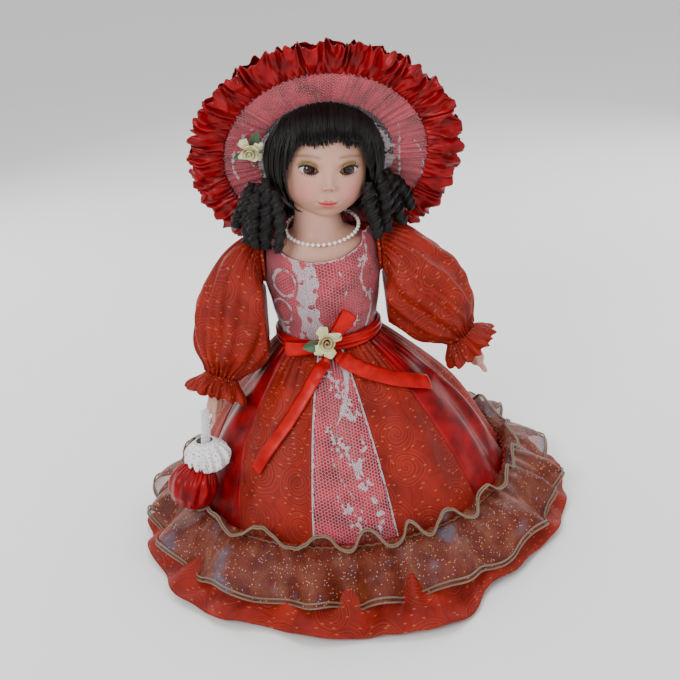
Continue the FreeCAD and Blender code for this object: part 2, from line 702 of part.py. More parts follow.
# ================================================================ list of pieces
def pieces():
    built = {
        "stand_base": stand_base(), "stand_tube": stand_tube(), "stand_rod": stand_rod(),
        "waist_clip": waist_clip(),
        "torso": torso(), "shoulder_head": shoulder_head(), "pate": pate(), "eyes": eyes(),
        "eyelashes": eyelashes(),
        "hair_crown": hair_crown(), "hair_fringe": hair_fringe(), "back_hair": back_hair(),
        "pearl_beads": pearl_beads(), "necklace_thread": necklace_thread(),
        "bodice_front": bodice_front(), "bodice_back": bodice_back(), "bodice_lace": bodice_lace(),
        "sash": sash(), "bow_loops": Part.makeCompound([bow_loop(-1), bow_loop(1)]),
        "bow_tails": bow_tails(), "waist_rose": waist_rose(),
        "gore_centre": gore(-CENTRE_HALF, CENTRE_HALF), "lace_panel": lace_panel(),
        "flounce": gather_ring(FLOUNCE_ARC, FLOUNCE_T), "organza_frill": gather_ring(FRILL_ARC, FRILL_T),
        "organza_header": gather_ring(HEADER_ARC, FRILL_T),
        "petticoat": gather_ring(PETTICOAT_ARC, PETTICOAT_T),
        "hat_crown": hat_crown(), "hat_brim": hat_brim(), "brim_net": brim_net(),
        "hat_ruffle": hat_ruffle(), "hat_rose": hat_rose(),
        "wrist_loop": wrist_loop(), "purse_strap": purse_strap(), "purse_pouch": purse_pouch(),
        "purse_lace": purse_lace(),
    }
    gores = {"front": (CENTRE_HALF, FRONT_END), "side": (FRONT_END, SIDE_END), "back": (SIDE_END, 180.0)}
    for name, (start, end) in gores.items():
        built[f"gore_{name}_left"] = gore(start, end)
        built[f"gore_{name}_right"] = gore(-end, -start)
    for side in ("left", "right"):
        built[f"ringlets_{side}"] = ringlets(side)
        built[f"sleeve_{side}"] = sleeve(side)
        built[f"cuff_{side}"] = cuff(side)
        built[f"upper_arm_{side}"] = upper_arm(side)
        built[f"forearm_{side}"] = forearm(side)
        built[f"thigh_{side}"] = thigh(side)
        built[f"lower_leg_{side}"] = lower_leg(side)
        built[f"shoe_{side}"] = shoe(side)
        built[f"pantaloon_{side}"] = pantaloon(side)
    return built


if __name__ == "__main__":
    os.makedirs("parts", exist_ok=True)
    for name, shape in pieces().items():
        print(f"{name:18s} solids {len(shape.Solids)}  valid {shape.isValid()}  volume {shape.Volume / 1000:8.2f} cm3")
        shape.exportStep(f"parts/{name}.step")
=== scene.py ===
import math

import bmesh
import bpy
import numpy as np
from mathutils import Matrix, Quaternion, Vector


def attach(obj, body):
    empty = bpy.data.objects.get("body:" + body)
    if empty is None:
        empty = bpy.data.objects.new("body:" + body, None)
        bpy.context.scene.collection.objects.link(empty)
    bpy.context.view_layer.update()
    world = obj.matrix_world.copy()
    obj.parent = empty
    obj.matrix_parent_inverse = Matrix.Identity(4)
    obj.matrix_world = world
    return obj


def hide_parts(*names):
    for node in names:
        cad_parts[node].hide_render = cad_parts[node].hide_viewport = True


# The looks of the porcelain doll: draped cloth, sculpted face, wig, hat, purse and hidden underclothes.
# The doll faces -Y and +X is its own left.
# Shapes are worked out in millimetres and turned into metres when a mesh is built.

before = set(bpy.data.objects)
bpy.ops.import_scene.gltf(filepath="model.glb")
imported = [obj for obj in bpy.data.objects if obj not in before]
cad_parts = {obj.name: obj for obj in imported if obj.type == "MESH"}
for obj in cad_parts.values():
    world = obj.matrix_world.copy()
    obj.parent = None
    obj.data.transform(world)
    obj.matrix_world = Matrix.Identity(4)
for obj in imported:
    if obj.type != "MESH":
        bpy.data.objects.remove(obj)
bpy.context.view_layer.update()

MM = 0.001
TURN = 2 * math.pi

# ---------------------------------------------------------------- sizes shared with the CAD model
# The ARC values are three (radius, height) points; TORSO, PLATE and BODICE are ovals as (height, half width,
# half depth); SLEEVE and POUCH are (distance along the axis, radius).
SKIRT_X = 3.0
GORE_ARC = [(38.5, 157.0), (93.0, 98.0), (122.5, 42.0)]
FLOUNCE_ARC = [(123.5, 41.0), (149.0, 17.5), (176.5, 2.7)]
FRILL_ARC = [(130.0, 40.5), (149.0, 30.0), (163.0, 15.5)]
HEADER_ARC = [(129.0, 41.6), (132.5, 45.5), (137.0, 48.5)]
PETTICOAT_ARC = [(48.0, 145.0), (86.0, 97.0), (111.0, 30.0)]
TORSO = [(124, 27, 20), (135, 32, 27), (148, 33.5, 30), (160, 34, 31), (175, 34.5, 31),
         (190, 36, 30), (204, 35, 25.5), (214, 34, 24.5), (220, 28, 20)]
PLATE = [(204, 38.5, 29), (214, 40.5, 30), (224, 41, 28.5), (232, 38, 25.5), (238, 30, 21.5),
         (244, 20, 18.5), (250, 17.4, 17), (270, 15.5, 15.5)]
BODICE = [(158, 36.5, 34.5), (172, 37.5, 35), (190, 41, 36), (208, 44, 35), (222, 44, 32), (234, 40, 28),
          (241, 36, 24.5)]
NECKLINE = (34.0, 245.0, 18.0, 9.0)      # half width, middle height, depth in front and behind
SASH_Z = (157.0, 168.0)
NECK_PIVOT = np.array([0.0, 0.0, 250.0])
HEAD_TILT, HEAD_TURN = 7.0, 4.0
HEAD_C = np.array([4.0, -1.0, 298.0])
HEAD_R = np.array([31.0, 37.0, 44.0])
HAIR_C = np.array([4.0, 2.0, 296.0])
HAIR_R = np.array([44.0, 45.5, 46.5])
EYE = np.array([14.3, -25.4, -1.5])
EYE_R = 7.0
EYE_HALF, LID_UP, LID_DOWN, EYE_SLANT = 6.3, 3.1, 2.5, 0.55      # the almond opening between the lids
MOUTH_HALF = 6.6
HAT_C = np.array([6.0, 9.0, 296.0])
HAT_LEAN = 25.0
CROWN_R, BRIM_R, RUFFLE_IN, RUFFLE_OUT = 51.5, 80.0, 77.0, 101.0
HAT_ROSE = np.array([-50.5, -8.0, 305.0])
SHOULDER = {"left": np.array([48.0, 0, 222.0]), "right": np.array([-48.0, 0, 222.0])}
WRIST = {"left": np.array([106.0, -6, 140]), "right": np.array([-87.0, -32, 138])}
CUFF_START, CUFF_END = 92.0, 109.0
SLEEVE = [(-4, 15.5), (3, 21), (12, 27), (34, 33), (60, 30.5), (80, 21.5), (88, 13.5), (92, 11.2)]
SLEEVE_X = 45.6       # the sleeve stays outside this x, beside the bodice
BEAD_COUNT = 42
BEAD_RING = (3.0, -1.0, 27.4, 24.4)      # middle x and y, half width and half depth
BEAD_Z = (244.6, 6.5)                    # mean height, and how far the front hangs below it
BOW = np.array([-2.0, -43.0, 165.0])
PURSE_MOUTH = np.array([-102.0, -56.0, 94.0])
STRAP_TOP = np.array([-99.5, -42.0, 122.5])
POUCH_C = np.array([-114.0, -63.0, 70.0])
POUCH = [(-18.5, 0.4), (-17.5, 6.5), (-13, 14), (-6, 17.3), (1, 17.8), (8, 15.6), (14, 11), (18, 8),
         (22, 6.7)]
HIP_X, HIP_Z, KNEE_Z, THIGH_R = 15.6, 112.0, 60.0, 11.0


# ================================================================ mesh helpers
def unit(v):
    """Vectors scaled to length 1."""
    v = np.asarray(v, float)
    return v / np.maximum(np.linalg.norm(v, axis=-1, keepdims=True), 1e-12)


def join(*parts):
    """Points whose coordinates are the parts, stretched to one shape."""
    return np.stack(np.broadcast_arrays(*parts), -1)


def smooth(x, low, high):
    """0 below low, 1 above high, and an S-curve between."""
    t = np.clip((x - low) / (high - low), 0, 1)
    return t * t * (3 - 2 * t)


def hill(x, centre, width):
    """A bell curve of height 1 round the centre."""
    return np.exp(-((x - centre) / width) ** 2)


def spread(low, high, count, rows):
    """A grid of `rows` by `count` numbers from low to high along each row; low and high may be per-row."""
    low, high = np.broadcast_to(low, rows), np.broadcast_to(high, rows)
    return low[:, None] + (high - low)[:, None] * np.linspace(0, 1, count)[None]


def down(count, rows, low=0.0, high=1.0):
    """A grid of `rows` by `count` numbers from low to high down each column."""
    return np.repeat(np.linspace(low, high, rows)[:, None], count, 1)


def full_turn(cols, rows, start=0.0):
    """Angles once round from start, the same in every row."""
    return spread(start, start + TURN, cols + 1, rows)[:, :-1]


def unrolled(cols, rows, width, height, left=0.0, top=0.0):
    """UVs in metres for a closed band that is width by height millimetres when cut and laid flat."""
    return join(spread(left, left + width, cols + 1, rows), down(cols + 1, rows, top, top + height)) * MM


def closed_rows(grid, step=0):
    """A grid with its first column again at the end, moved on by step."""
    return np.concatenate([grid, grid[:, :1] + step], 1)


def from_top(lat, turn):
    """Directions at an angle from +Z, and round it from the front (-Y) towards +X."""
    return join(np.sin(lat) * np.sin(turn), -np.sin(lat) * np.cos(turn), np.cos(lat))


def curve_through(points):
    """A smooth function of the first number of each point, one per other number."""
    table = np.array(points, float)
    xs, ys = table[:, 0], table[:, 1:]
    slopes = np.gradient(ys, xs, axis=0)

    def at(x):
        x = np.asarray(x, float)
        i = np.clip(np.searchsorted(xs, x) - 1, 0, len(xs) - 2)
        h = (xs[i + 1] - xs[i])[..., None]
        t = np.clip((x - xs[i])[..., None] / h, 0, 1)
        y0, y1, m0, m1 = ys[i], ys[i + 1], slopes[i] * h, slopes[i + 1] * h
        value = y0 + t * m0 + t * t * (3 * (y1 - y0) - 2 * m0 - m1) + t ** 3 * (2 * (y0 - y1) + m0 + m1)
        return value[..., 0] if value.shape[-1] == 1 else value

    return at


def arc_through(points):
    """The arc through three (radius, height) points: position and outward normal for t from 0 to 1."""
    (x1, z1), (x2, z2), (x3, z3) = points
    d = 2 * (x1 * (z2 - z3) + x2 * (z3 - z1) + x3 * (z1 - z2))
    s1, s2, s3 = x1 * x1 + z1 * z1, x2 * x2 + z2 * z2, x3 * x3 + z3 * z3
    centre = np.array([(s1 * (z2 - z3) + s2 * (z3 - z1) + s3 * (z1 - z2)) / d,
                       (s1 * (x3 - x2) + s2 * (x1 - x3) + s3 * (x2 - x1)) / d])
    spokes = np.array(points, float) - centre
    angles = np.unwrap(np.arctan2(spokes[:, 1], spokes[:, 0]))
    radius = np.linalg.norm(spokes[0])
    outward = 1.0 if spokes[1].sum() > 0 else -1.0

    def at(t):
        a = angles[0] + (angles[2] - angles[0]) * np.asarray(t, float)
        spoke = join(np.cos(a), np.sin(a))
        return centre + spoke * radius, spoke * outward

    at.length = abs(angles[2] - angles[0]) * radius
    return at


def around(phi, r, z, cx=0.0):
    """A point at azimuth phi from the front, positive towards +X."""
    return join(cx + r * np.sin(phi), -r * np.cos(phi), z)


def pleats(phi, count, seed, spread=0.7, sharp=1.0):
    """A wavy periodic function of an angle: `count` folds of uneven width and depth."""
    draw = np.random.default_rng(seed)
    widths = 1 + spread * (draw.random(count) - 0.5)
    edges = np.concatenate([[0], np.cumsum(widths)]) / widths.sum()
    depths = 0.55 + 0.9 * draw.random(count)
    t = np.interp((np.asarray(phi) / TURN) % 1.0, edges, np.arange(count + 1))
    k = np.floor(t).astype(int)
    s = smooth(t - k, 0, 1)
    depth = depths[k % count] * (1 - s) + depths[(k + 1) % count] * s
    wave = np.sin(TURN * t)
    return depth * np.sign(wave) * np.abs(wave) ** sharp


def crumple(points, size, seed):
    """Soft uneven dents, a sum of waves in random directions, about -1 to 1."""
    draw = np.random.default_rng(seed)
    total = np.zeros(points.shape[:-1])
    for _ in range(7):
        direction = unit(draw.normal(size=3)) * TURN / (size * (0.6 + 0.9 * draw.random()))
        total += np.sin(points @ direction + TURN * draw.random())
    return total / 4.0


def corners(grid):
    """The values at the four corners of each cell of a grid."""
    return np.stack([grid[:-1, :-1], grid[:-1, 1:], grid[1:, 1:], grid[1:, :-1]], 2)


class Patch:
    """Grids and tubes gathered into one mesh, in millimetres, with UVs in metres."""

    def __init__(self):
        self.points, self.faces, self.uvs, self.values, self.count = [], [], [], {}, 0

    def grid(self, points, uv=None, wrap=False, gap=None, **values):
        """Adds a grid of points, closed round if wrap is set, without the faces that lie in the gap."""
        rows, cols = points.shape[:2]
        ids = np.arange(rows * cols).reshape(rows, cols) + self.count
        if wrap:
            ids = closed_rows(ids)
        if uv is None:
            uv = join(*np.meshgrid(np.arange(ids.shape[1]), np.arange(rows))) * MM
        keep = slice(None) if gap is None else ~corners(closed_rows(gap)).all(2).reshape(-1)
        self.faces.append(corners(ids).reshape(-1, 4)[keep])
        self.uvs.append(corners(uv).reshape(-1, 4, 2)[keep].reshape(-1, 2))
        self.points.append(points.reshape(-1, 3))
        for name, value in values.items():
            part = np.broadcast_to(value, (rows, cols)).reshape(-1)
            self.values.setdefault(name, []).append((self.count, part))
        self.count += rows * cols
        return self

    def tube(self, path, radius, sides=6):
        """Adds a closed-ended tube along a path."""
        path = np.asarray(path, float)
        radius = np.broadcast_to(radius, len(path)).astype(float)
        tangent = unit(np.gradient(path, axis=0))
        side = np.zeros_like(path)
        side[0] = unit(np.cross(tangent[0], [0.3, 0.5, 0.81]))
        for i in range(1, len(path)):
            side[i] = unit(side[i - 1] - tangent[i] * np.dot(side[i - 1], tangent[i]))
        other = np.cross(tangent, side)
        angles = np.linspace(0, TURN, sides, endpoint=False)
        ring = np.cos(angles)[:, None] * side[:, None] + np.sin(angles)[:, None] * other[:, None]
        body = path[:, None] + ring * radius[:, None, None]
        ends = [np.repeat(path[:1, None], sides, 1), body, np.repeat(path[-1:, None], sides, 1)]
        length = np.concatenate([[0], np.cumsum(np.linalg.norm(np.diff(path, axis=0), axis=1))])
        v = np.concatenate([length[:1], length, length[-1:]])
        u = np.linspace(0, TURN * radius.max(), sides + 1)
        return self.grid(np.concatenate(ends), join(*np.meshgrid(u, v)) * MM, wrap=True)

    def build(self, name, material, thick=0.0, levels=0):
        """The mesh object, welded; thick in millimetres makes it a closed sheet of cloth."""
        points, faces = np.concatenate(self.points) * MM, np.concatenate(self.faces)
        mesh = bpy.data.meshes.new(name)
        mesh.from_pydata(points.tolist(), [], faces.tolist())
        layer = mesh.uv_layers.new(name="Cloth")
        layer.data.foreach_set("uv", np.concatenate(self.uvs).astype(np.float32).ravel())
        for key, parts in self.values.items():
            whole = np.zeros(self.count, np.float32)
            for first, part in parts:
                whole[first:first + len(part)] = part
            mesh.attributes.new(key, "FLOAT", "POINT").data.foreach_set("value", whole)
        mesh.polygons.foreach_set("use_smooth", [True] * len(faces))
        mesh.materials.append(material)
        weld(mesh)
        thing = bpy.data.objects.new(name, mesh)
        bpy.context.scene.collection.objects.link(thing)
        if levels:
            subdivision = thing.modifiers.new("smooth", "SUBSURF")
            subdivision.levels = subdivision.render_levels = levels
        if thick:
            solid = thing.modifiers.new("cloth", "SOLIDIFY")
            solid.thickness, solid.offset = thick * MM, 0.0
        return thing


def weld(mesh):
    """Joins doubled points, such as a tube's closed ends, and drops faces that had no area."""
    work = bmesh.new()
    work.from_mesh(mesh)
    bmesh.ops.remove_doubles(work, verts=work.verts, dist=1e-7)
    work.to_mesh(mesh)
    work.free()


def place(piece, body, slot, *nodes):
    """Fixes a piece to its body and hides the CAD nodes that it stands for; slot, its finish, is not used.
    """
    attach(piece, body)
    if nodes:
        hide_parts(*nodes)
    return piece


def turn_about(axis, degrees):
    """The matrix of a turn about one axis."""
    c, s = math.cos(math.radians(degrees)), math.sin(math.radians(degrees))
    if axis == "x":
        return np.array([[1, 0, 0], [0, c, -s], [0, s, c]])
    if axis == "y":
        return np.array([[c, 0, s], [0, 1, 0], [-s, 0, c]])
    return np.array([[c, -s, 0], [s, c, 0], [0, 0, 1]])


HEAD_MATRIX = turn_about("y", HEAD_TILT) @ turn_about("z", HEAD_TURN)


def on_head(points):
    """From the head's upright frame to the tilted head."""
    return (points - NECK_PIVOT) @ HEAD_MATRIX.T + NECK_PIVOT


def on_hat(points):
    """From the hat's frame, its crown along +Z and its lower edge towards +Y, onto the head."""
    return on_head((points @ turn_about("x", -(90.0 - HAT_LEAN)).T) + HAT_C)


# ================================================================ materials
class Shade:
    """A small helper that adds shader nodes and wires them to a Principled shader."""

    def __init__(self, name, **sockets):
        self.material = bpy.data.materials.new(name)
        self.material.use_nodes = True
        self.tree = self.material.node_tree
        self.shader = self.tree.nodes["Principled BSDF"]
        for key, value in sockets.items():
            self.shader.inputs[key.replace("_", " ")].default_value = value

    def node(self, kind, inputs=None, **settings):
        made = self.tree.nodes.new("ShaderNode" + kind)
        for key, value in settings.items():
            setattr(made, key, value)
        for key, value in (inputs or {}).items():
            self.feed(made.inputs[key], value)
        return made

    def feed(self, socket, value):
        if isinstance(value, bpy.types.NodeSocket):
            self.tree.links.new(value, socket)
        else:
            socket.default_value = value

    def math(self, operation, *values):
        made = self.node("Math", operation=operation)
        for socket, value in zip(made.inputs, values):
            self.feed(socket, value)
        return made.outputs[0]

    def times(self, a, b):
        return self.math("MULTIPLY", a, b)

    def plus(self, a, b):
        return self.math("ADD", a, b)

    def minus(self, a, b):
        return self.math("SUBTRACT", a, b)

    def uv(self):
        """The cloth's own coordinates, in metres."""
        return self.node("UVMap", uv_map="Cloth").outputs[0]

    def place(self):
        return self.node("TexCoord").outputs["Object"]

    def stretch(self, vector, x, y):
        return self.node("Mapping", {"Vector": vector, "Scale": (x, y, 1.0)}).outputs[0]

    def move(self, operation, a, b):
        """Arithmetic on vectors."""
        return self.node("VectorMath", {0: a, 1: b}, operation=operation).outputs[0]

    def noise(self, vector, scale, detail=2.0, rough=0.5):
        inputs = {"Vector": vector, "Scale": scale, "Detail": detail, "Roughness": rough}
        return self.node("TexNoise", inputs).outputs[0]

    def voronoi(self, vector, scale, randomness, feature="F1"):
        """The outputs of a flat cell pattern."""
        made = self.node("TexVoronoi", {"Vector": vector, "Scale": scale, "Randomness": randomness},
                         feature=feature, voronoi_dimensions="2D")
        return made.outputs

    def parts(self, vector):
        return self.node("SeparateXYZ", {"Vector": vector}).outputs

    def value(self, name):
        return self.node("Attribute", attribute_name=name).outputs["Fac"]

    def ramp(self, factor, *stops):
        made = self.node("ValToRGB", {"Fac": factor})
        elements = made.color_ramp.elements
        while len(elements) < len(stops):
            elements.new(0.5)
        for element, (where, colour) in zip(elements, stops):
            element.position = where
            element.color = (*colour, 1)
        return made.outputs[0]

    def mix(self, factor, a, b):
        made = self.node("Mix", data_type="RGBA", clamp_factor=True)
        for key, value in ((0, factor), (6, a), (7, b)):
            if key and not isinstance(value, bpy.types.NodeSocket):
                value = (*value, 1)
            self.feed(made.inputs[key], value)
        return made.outputs[2]

    def step(self, x, low, high):
        """0 to 1 as x goes from low to high, or 1 to 0 where high is under low."""
        inputs = {"Value": x, "From Min": low, "From Max": high, "To Min": 0.0, "To Max": 1.0}
        return self.node("MapRange", inputs, interpolation_type="SMOOTHSTEP").outputs[0]

    def bump(self, height, strength, distance):
        return self.node("Bump", {"Height": height, "Strength": strength, "Distance": distance}).outputs[0]

    def finish(self, colour, normal=None, roughness=None, alpha=None):
        """Wires what is given to the shader and hands over the material."""
        links = {"Base Color": colour, "Normal": normal, "Roughness": roughness, "Alpha": alpha}
        for key, value in links.items():
            if value is not None:
                self.feed(self.shader.inputs[key], value)
        return self.material


def weave_height(shade, uv, pitch):
    """Crossing threads `pitch` metres apart."""
    across = shade.parts(uv)
    k = TURN / pitch
    return shade.times(shade.math("SINE", shade.times(across[0], k)),
                      shade.math("SINE", shade.times(across[1], k)))


def brocade_scrolls(shade, bent):
    """A wave across the spirals, one to a cell; 1 inside a spiral; and the lines of the whole pattern."""
    cell = shade.voronoi(bent, 31.0, 0.55)
    xy = shade.parts(shade.move("SUBTRACT", bent, cell["Position"]))
    random = shade.parts(cell["Color"])
    radius = shade.math("SQRT", shade.plus(shade.times(xy[0], xy[0]), shade.times(xy[1], xy[1])))
    way = shade.math("SIGN", shade.minus(random[0], 0.5))
    spin = shade.plus(shade.times(shade.math("ARCTAN2", xy[1], xy[0]), way), shade.times(random[1], TURN))
    line = shade.math("SINE", shade.plus(shade.times(radius, TURN / 0.0052), spin))
    inside = shade.step(radius, 0.0175, 0.0145)
    flow = shade.math("SINE", shade.times(shade.noise(bent, 26.0, 1.0), 46.0))
    flow = shade.times(shade.step(flow, 0.6, 0.95), 0.7)
    lines = shade.plus(shade.times(shade.step(line, 0.55, 0.97), inside),
                       shade.times(flow, shade.minus(1.0, inside)))
    return line, inside, lines


def brocade():
    """Rust-red jacquard: tone-on-tone scrolls, flowing lines between them and scattered gold dashes."""
    shade = Shade("brocade", Roughness=0.58, Specular_IOR_Level=0.22)
    uv = shade.uv()
    wobble = shade.node("TexNoise", {"Vector": uv, "Scale": 55.0, "Detail": 1.0}).outputs["Color"]
    offset = shade.move("ADD", wobble, (-0.5, -0.5, -0.5))
    bent = shade.move("ADD", uv, shade.move("MULTIPLY", offset, (0.006, 0.006, 0.006)))
    line, inside, lines = brocade_scrolls(shade, bent)
    flecks = shade.voronoi(shade.stretch(uv, 1.0, 2.6), 100.0, 0.75)
    chosen = shade.math("GREATER_THAN", shade.parts(flecks["Color"])[2], 0.5)
    dash = shade.times(shade.step(flecks["Distance"], 0.17, 0.08), chosen)
    thread = shade.noise(shade.stretch(uv, 1.0, 6.0), 700.0)
    tone = shade.noise(uv, 34.0, 4.0, 0.6)
    ground = shade.ramp(tone, (0.34, (0.13, 0.004, 0.002)), (0.66, (0.32, 0.013, 0.004)))
    ground = shade.mix(shade.times(thread, 0.5), ground, (0.17, 0.006, 0.002))
    ground = shade.mix(shade.times(lines, 0.42), ground, (0.10, 0.003, 0.001))
    edge = shade.times(shade.times(shade.step(line, -0.2, 0.4), shade.step(line, 0.85, 0.5)), inside)
    ground = shade.mix(shade.times(edge, 0.3), ground, (0.46, 0.05, 0.018))
    colour = shade.mix(shade.times(dash, 0.75), ground, (0.44, 0.10, 0.03))
    return shade.finish(colour, shade.bump(shade.minus(shade.times(thread, 0.25), lines), 0.4, 0.0005))


def satin(name, colour, dark, rough=0.3, tint=(1.0, 0.35, 0.35)):
    """Smooth shiny cloth, its thread direction across the piece."""
    shade = Shade(name, Specular_IOR_Level=0.4, Anisotropic=0.5)
    shade.shader.inputs["Specular Tint"].default_value = (*tint, 1.0)
    uv = shade.uv()
    fine = shade.noise(shade.stretch(uv, 9.0, 1.0), 420.0, 2.0)
    broad = shade.noise(uv, 60.0, 3.0)
    tone = shade.ramp(broad, (0.32, dark), (0.68, colour))
    tone = shade.mix(shade.times(fine, 0.3), tone, dark)
    # Painted shade: the colour is mixed towards the dark tone where the cloth turns away from the view.
    sheen = shade.node("LayerWeight", {"Blend": 0.35}).outputs["Facing"]
    tone = shade.mix(shade.times(sheen, 0.35), tone, dark)
    ripple = shade.noise(uv, 120.0, 2.0)
    height = shade.plus(shade.times(fine, 0.15), ripple)
    roughness = shade.plus(shade.times(fine, 0.12), rough)
    return shade.finish(tone, shade.bump(height, 0.35, 0.0008), roughness)


def net_holes(shade, uv, pitch):
    """1 on the threads of a hexagonal net and 0 in its holes."""
    xy = shade.parts(uv)
    k = TURN / (pitch * math.sqrt(3) / 2)
    total = None
    for turn in (0, 60, 120):
        a = math.radians(turn)
        along = shade.plus(shade.times(xy[0], k * math.cos(a)),
                           shade.times(xy[1], k * math.sin(a)))
        wave = shade.math("COSINE", along)
        total = wave if total is None else shade.plus(total, wave)
    return shade.step(total, -0.35, -1.0)


def lace(name, motif, pitch=0.0024, cover=0.92):
    """White net with denser woven flowers where the attribute `motif` is high."""
    shade = Shade(name, Roughness=0.75, Sheen_Weight=0.3, Specular_IOR_Level=0.3)
    uv = shade.uv()
    threads = net_holes(shade, uv, pitch)
    field = shade.value(motif)
    warp = shade.noise(uv, 130.0, 3.0, 0.6)
    petals = shade.voronoi(uv, 150.0, 0.9)["Distance"]
    reach = shade.plus(field, shade.times(shade.minus(warp, 0.5), 1.1))
    reach = shade.minus(reach, shade.times(petals, 0.45))
    dense = shade.step(reach, 0.34, 0.5)
    vein = shade.times(dense, shade.step(reach, 0.62, 0.5))
    mesh = shade.voronoi(uv, 620.0, 0.9, "DISTANCE_TO_EDGE")["Distance"]
    pores = shade.times(shade.step(mesh, 0.16, 0.30), shade.step(reach, 0.95, 0.45))
    fibre = shade.noise(uv, 900.0, 2.0)
    colour = shade.mix(fibre, (0.36, 0.28, 0.31), (0.55, 0.46, 0.50))
    colour = shade.mix(shade.times(vein, 0.5), colour, (0.62, 0.56, 0.58))
    alpha = shade.math("MAXIMUM", shade.times(threads, 0.42),
                       shade.times(shade.times(dense, cover), shade.minus(1.0, pores)))
    height = shade.plus(dense, shade.times(threads, 0.4))
    return shade.finish(colour, shade.bump(height, 0.7, 0.0005), alpha=alpha)


def crochet():
    """Thick white cotton lace."""
    shade = Shade("crochet", Roughness=0.85, Sheen_Weight=0.4, Specular_IOR_Level=0.25)
    uv = shade.uv()
    loops = shade.voronoi(uv, 520.0, 0.8, "DISTANCE_TO_EDGE")["Distance"]
    hole = shade.step(loops, 0.30, 0.36)
    colour = shade.mix(shade.noise(uv, 400.0), (0.74, 0.71, 0.73), (0.93, 0.92, 0.92))
    alpha = shade.minus(1.0, shade.times(hole, 0.75))
    return shade.finish(colour, shade.bump(loops, 0.9, 0.0007), alpha=alpha)


def organza():
    """Sheer copper cloth with iridescent glitter."""
    shade = Shade("organza", Roughness=0.35, Specular_IOR_Level=0.35)
    uv = shade.uv()
    cells = shade.voronoi(uv, 900.0, 1.0)
    pick = shade.parts(cells["Color"])
    lit = shade.math("GREATER_THAN", pick[0], 0.93)
    spark = shade.times(shade.step(cells["Distance"], 0.42, 0.2), lit)
    tone = shade.noise(uv, 70.0, 3.0)
    drift = shade.noise(uv, 34.0, 2.0)
    ground = shade.ramp(tone, (0.3, (0.07, 0.009, 0.005)), (0.5, (0.15, 0.026, 0.010)),
                        (0.72, (0.20, 0.06, 0.03)))
    ground = shade.mix(shade.step(drift, 0.56, 0.72), ground, (0.12, 0.11, 0.15))
    glitter = shade.ramp(pick[1], (0.0, (0.8, 0.25, 0.05)), (0.6, (0.7, 0.34, 0.16)),
                         (0.85, (0.3, 0.4, 0.65)))
    colour = shade.mix(spark, ground, glitter)
    sheen = shade.node("LayerWeight", {"Blend": 0.4}).outputs["Facing"]
    alpha = shade.plus(shade.times(sheen, 0.5), shade.plus(0.42, shade.times(tone, 0.35)))
    alpha = shade.math("MAXIMUM", alpha, spark)
    return shade.finish(colour, shade.bump(weave_height(shade, uv, 0.0011), 0.3, 0.0003), alpha=alpha)


def rolled_edge():
    """The bronze-grey overlocked edge of the organza."""
    shade = Shade("rolled_edge", Roughness=0.55, Specular_IOR_Level=0.6)
    uv = shade.uv()
    turns = shade.math("SINE", shade.times(shade.parts(uv)[1], TURN / 0.0011))
    tone = shade.mix(shade.noise(uv, 90.0, 3.0), (0.15, 0.08, 0.04), (0.27, 0.20, 0.14))
    colour = shade.mix(shade.times(shade.step(turns, 0.0, 0.9), 0.5), tone, (0.13, 0.08, 0.05))
    return shade.finish(colour, shade.bump(turns, 0.6, 0.0004))


def china(name, painted):
    """Matt bisque, with the painted face where the attributes say."""
    shade = Shade(name, Roughness=0.48, Specular_IOR_Level=0.4)
    shade.shader.inputs["Subsurface Weight"].default_value = 0.06
    shade.shader.inputs["Subsurface Scale"].default_value = 0.004
    place = shade.place()
    tone = shade.noise(place, 60.0, 3.0)
    colour = shade.mix(tone, (0.48, 0.245, 0.175), (0.55, 0.305, 0.225))
    if painted:
        grain = shade.plus(0.8, shade.times(shade.noise(place, 500.0, 2.0), 0.4))
        # The lid-line paint holds the painted lid lines and also painted shade on the rims inside the eye
        # openings.
        paints = (("blush", (0.62, 0.21, 0.18), 0.8), ("shadow", (0.22, 0.13, 0.035), 0.85),
                  ("brow", (0.10, 0.05, 0.018), 0.95), ("lips", (0.52, 0.095, 0.09), 0.95),
                  ("mouth", (0.36, 0.04, 0.04), 0.8), ("liner_and_rim_shade", (0.012, 0.006, 0.005), 1.0))
        for key, tint, strength in paints:
            amount = shade.times(shade.times(shade.value(key), grain), strength)
            colour = shade.mix(amount, colour, tint)
    fine = shade.noise(place, 1500.0, 2.0)
    return shade.finish(colour, shade.bump(fine, 0.12, 0.0002))


def eye_glass():
    """Brown glass eye: the attribute `gaze` is the angle from the pupil, in degrees."""
    shade = Shade("eye_glass", Roughness=0.12, Coat_Weight=0.25, Coat_Roughness=0.03, Specular_IOR_Level=0.3)
    gaze = shade.value("gaze")
    spin = shade.value("spin")
    rays = shade.node("CombineXYZ", {"X": shade.times(spin, 14.0), "Y": shade.times(gaze, 0.05)})
    fibre = shade.noise(rays.outputs[0], 2.2, 3.0)
    iris = shade.mix(fibre, (0.012, 0.004, 0.002), (0.085, 0.028, 0.010))
    iris = shade.mix(shade.step(gaze, 29.0, 34.0), iris, (0.008, 0.003, 0.002))
    colour = shade.mix(shade.step(gaze, 14.0, 17.0), (0.002, 0.001, 0.001), iris)
    white = shade.mix(shade.noise(shade.place(), 260.0), (0.50, 0.46, 0.43), (0.60, 0.56, 0.53))
    return shade.finish(shade.mix(shade.step(gaze, 35.0, 38.0), colour, white))


def hair():
    """Black silky wig fibre with fine streaks along each lock."""
    shade = Shade("wig", Roughness=0.36, Specular_IOR_Level=0.32, Anisotropic=0.6)
    uv = shade.uv()
    streak = shade.noise(shade.stretch(uv, 14.0, 1.0), 260.0, 3.0)
    colour = shade.ramp(streak, (0.35, (0.0015, 0.0012, 0.0012)), (0.75, (0.012, 0.009, 0.008)))
    rough = shade.plus(0.28, shade.times(streak, 0.2))
    return shade.finish(colour, shade.bump(streak, 0.8, 0.0005), rough)


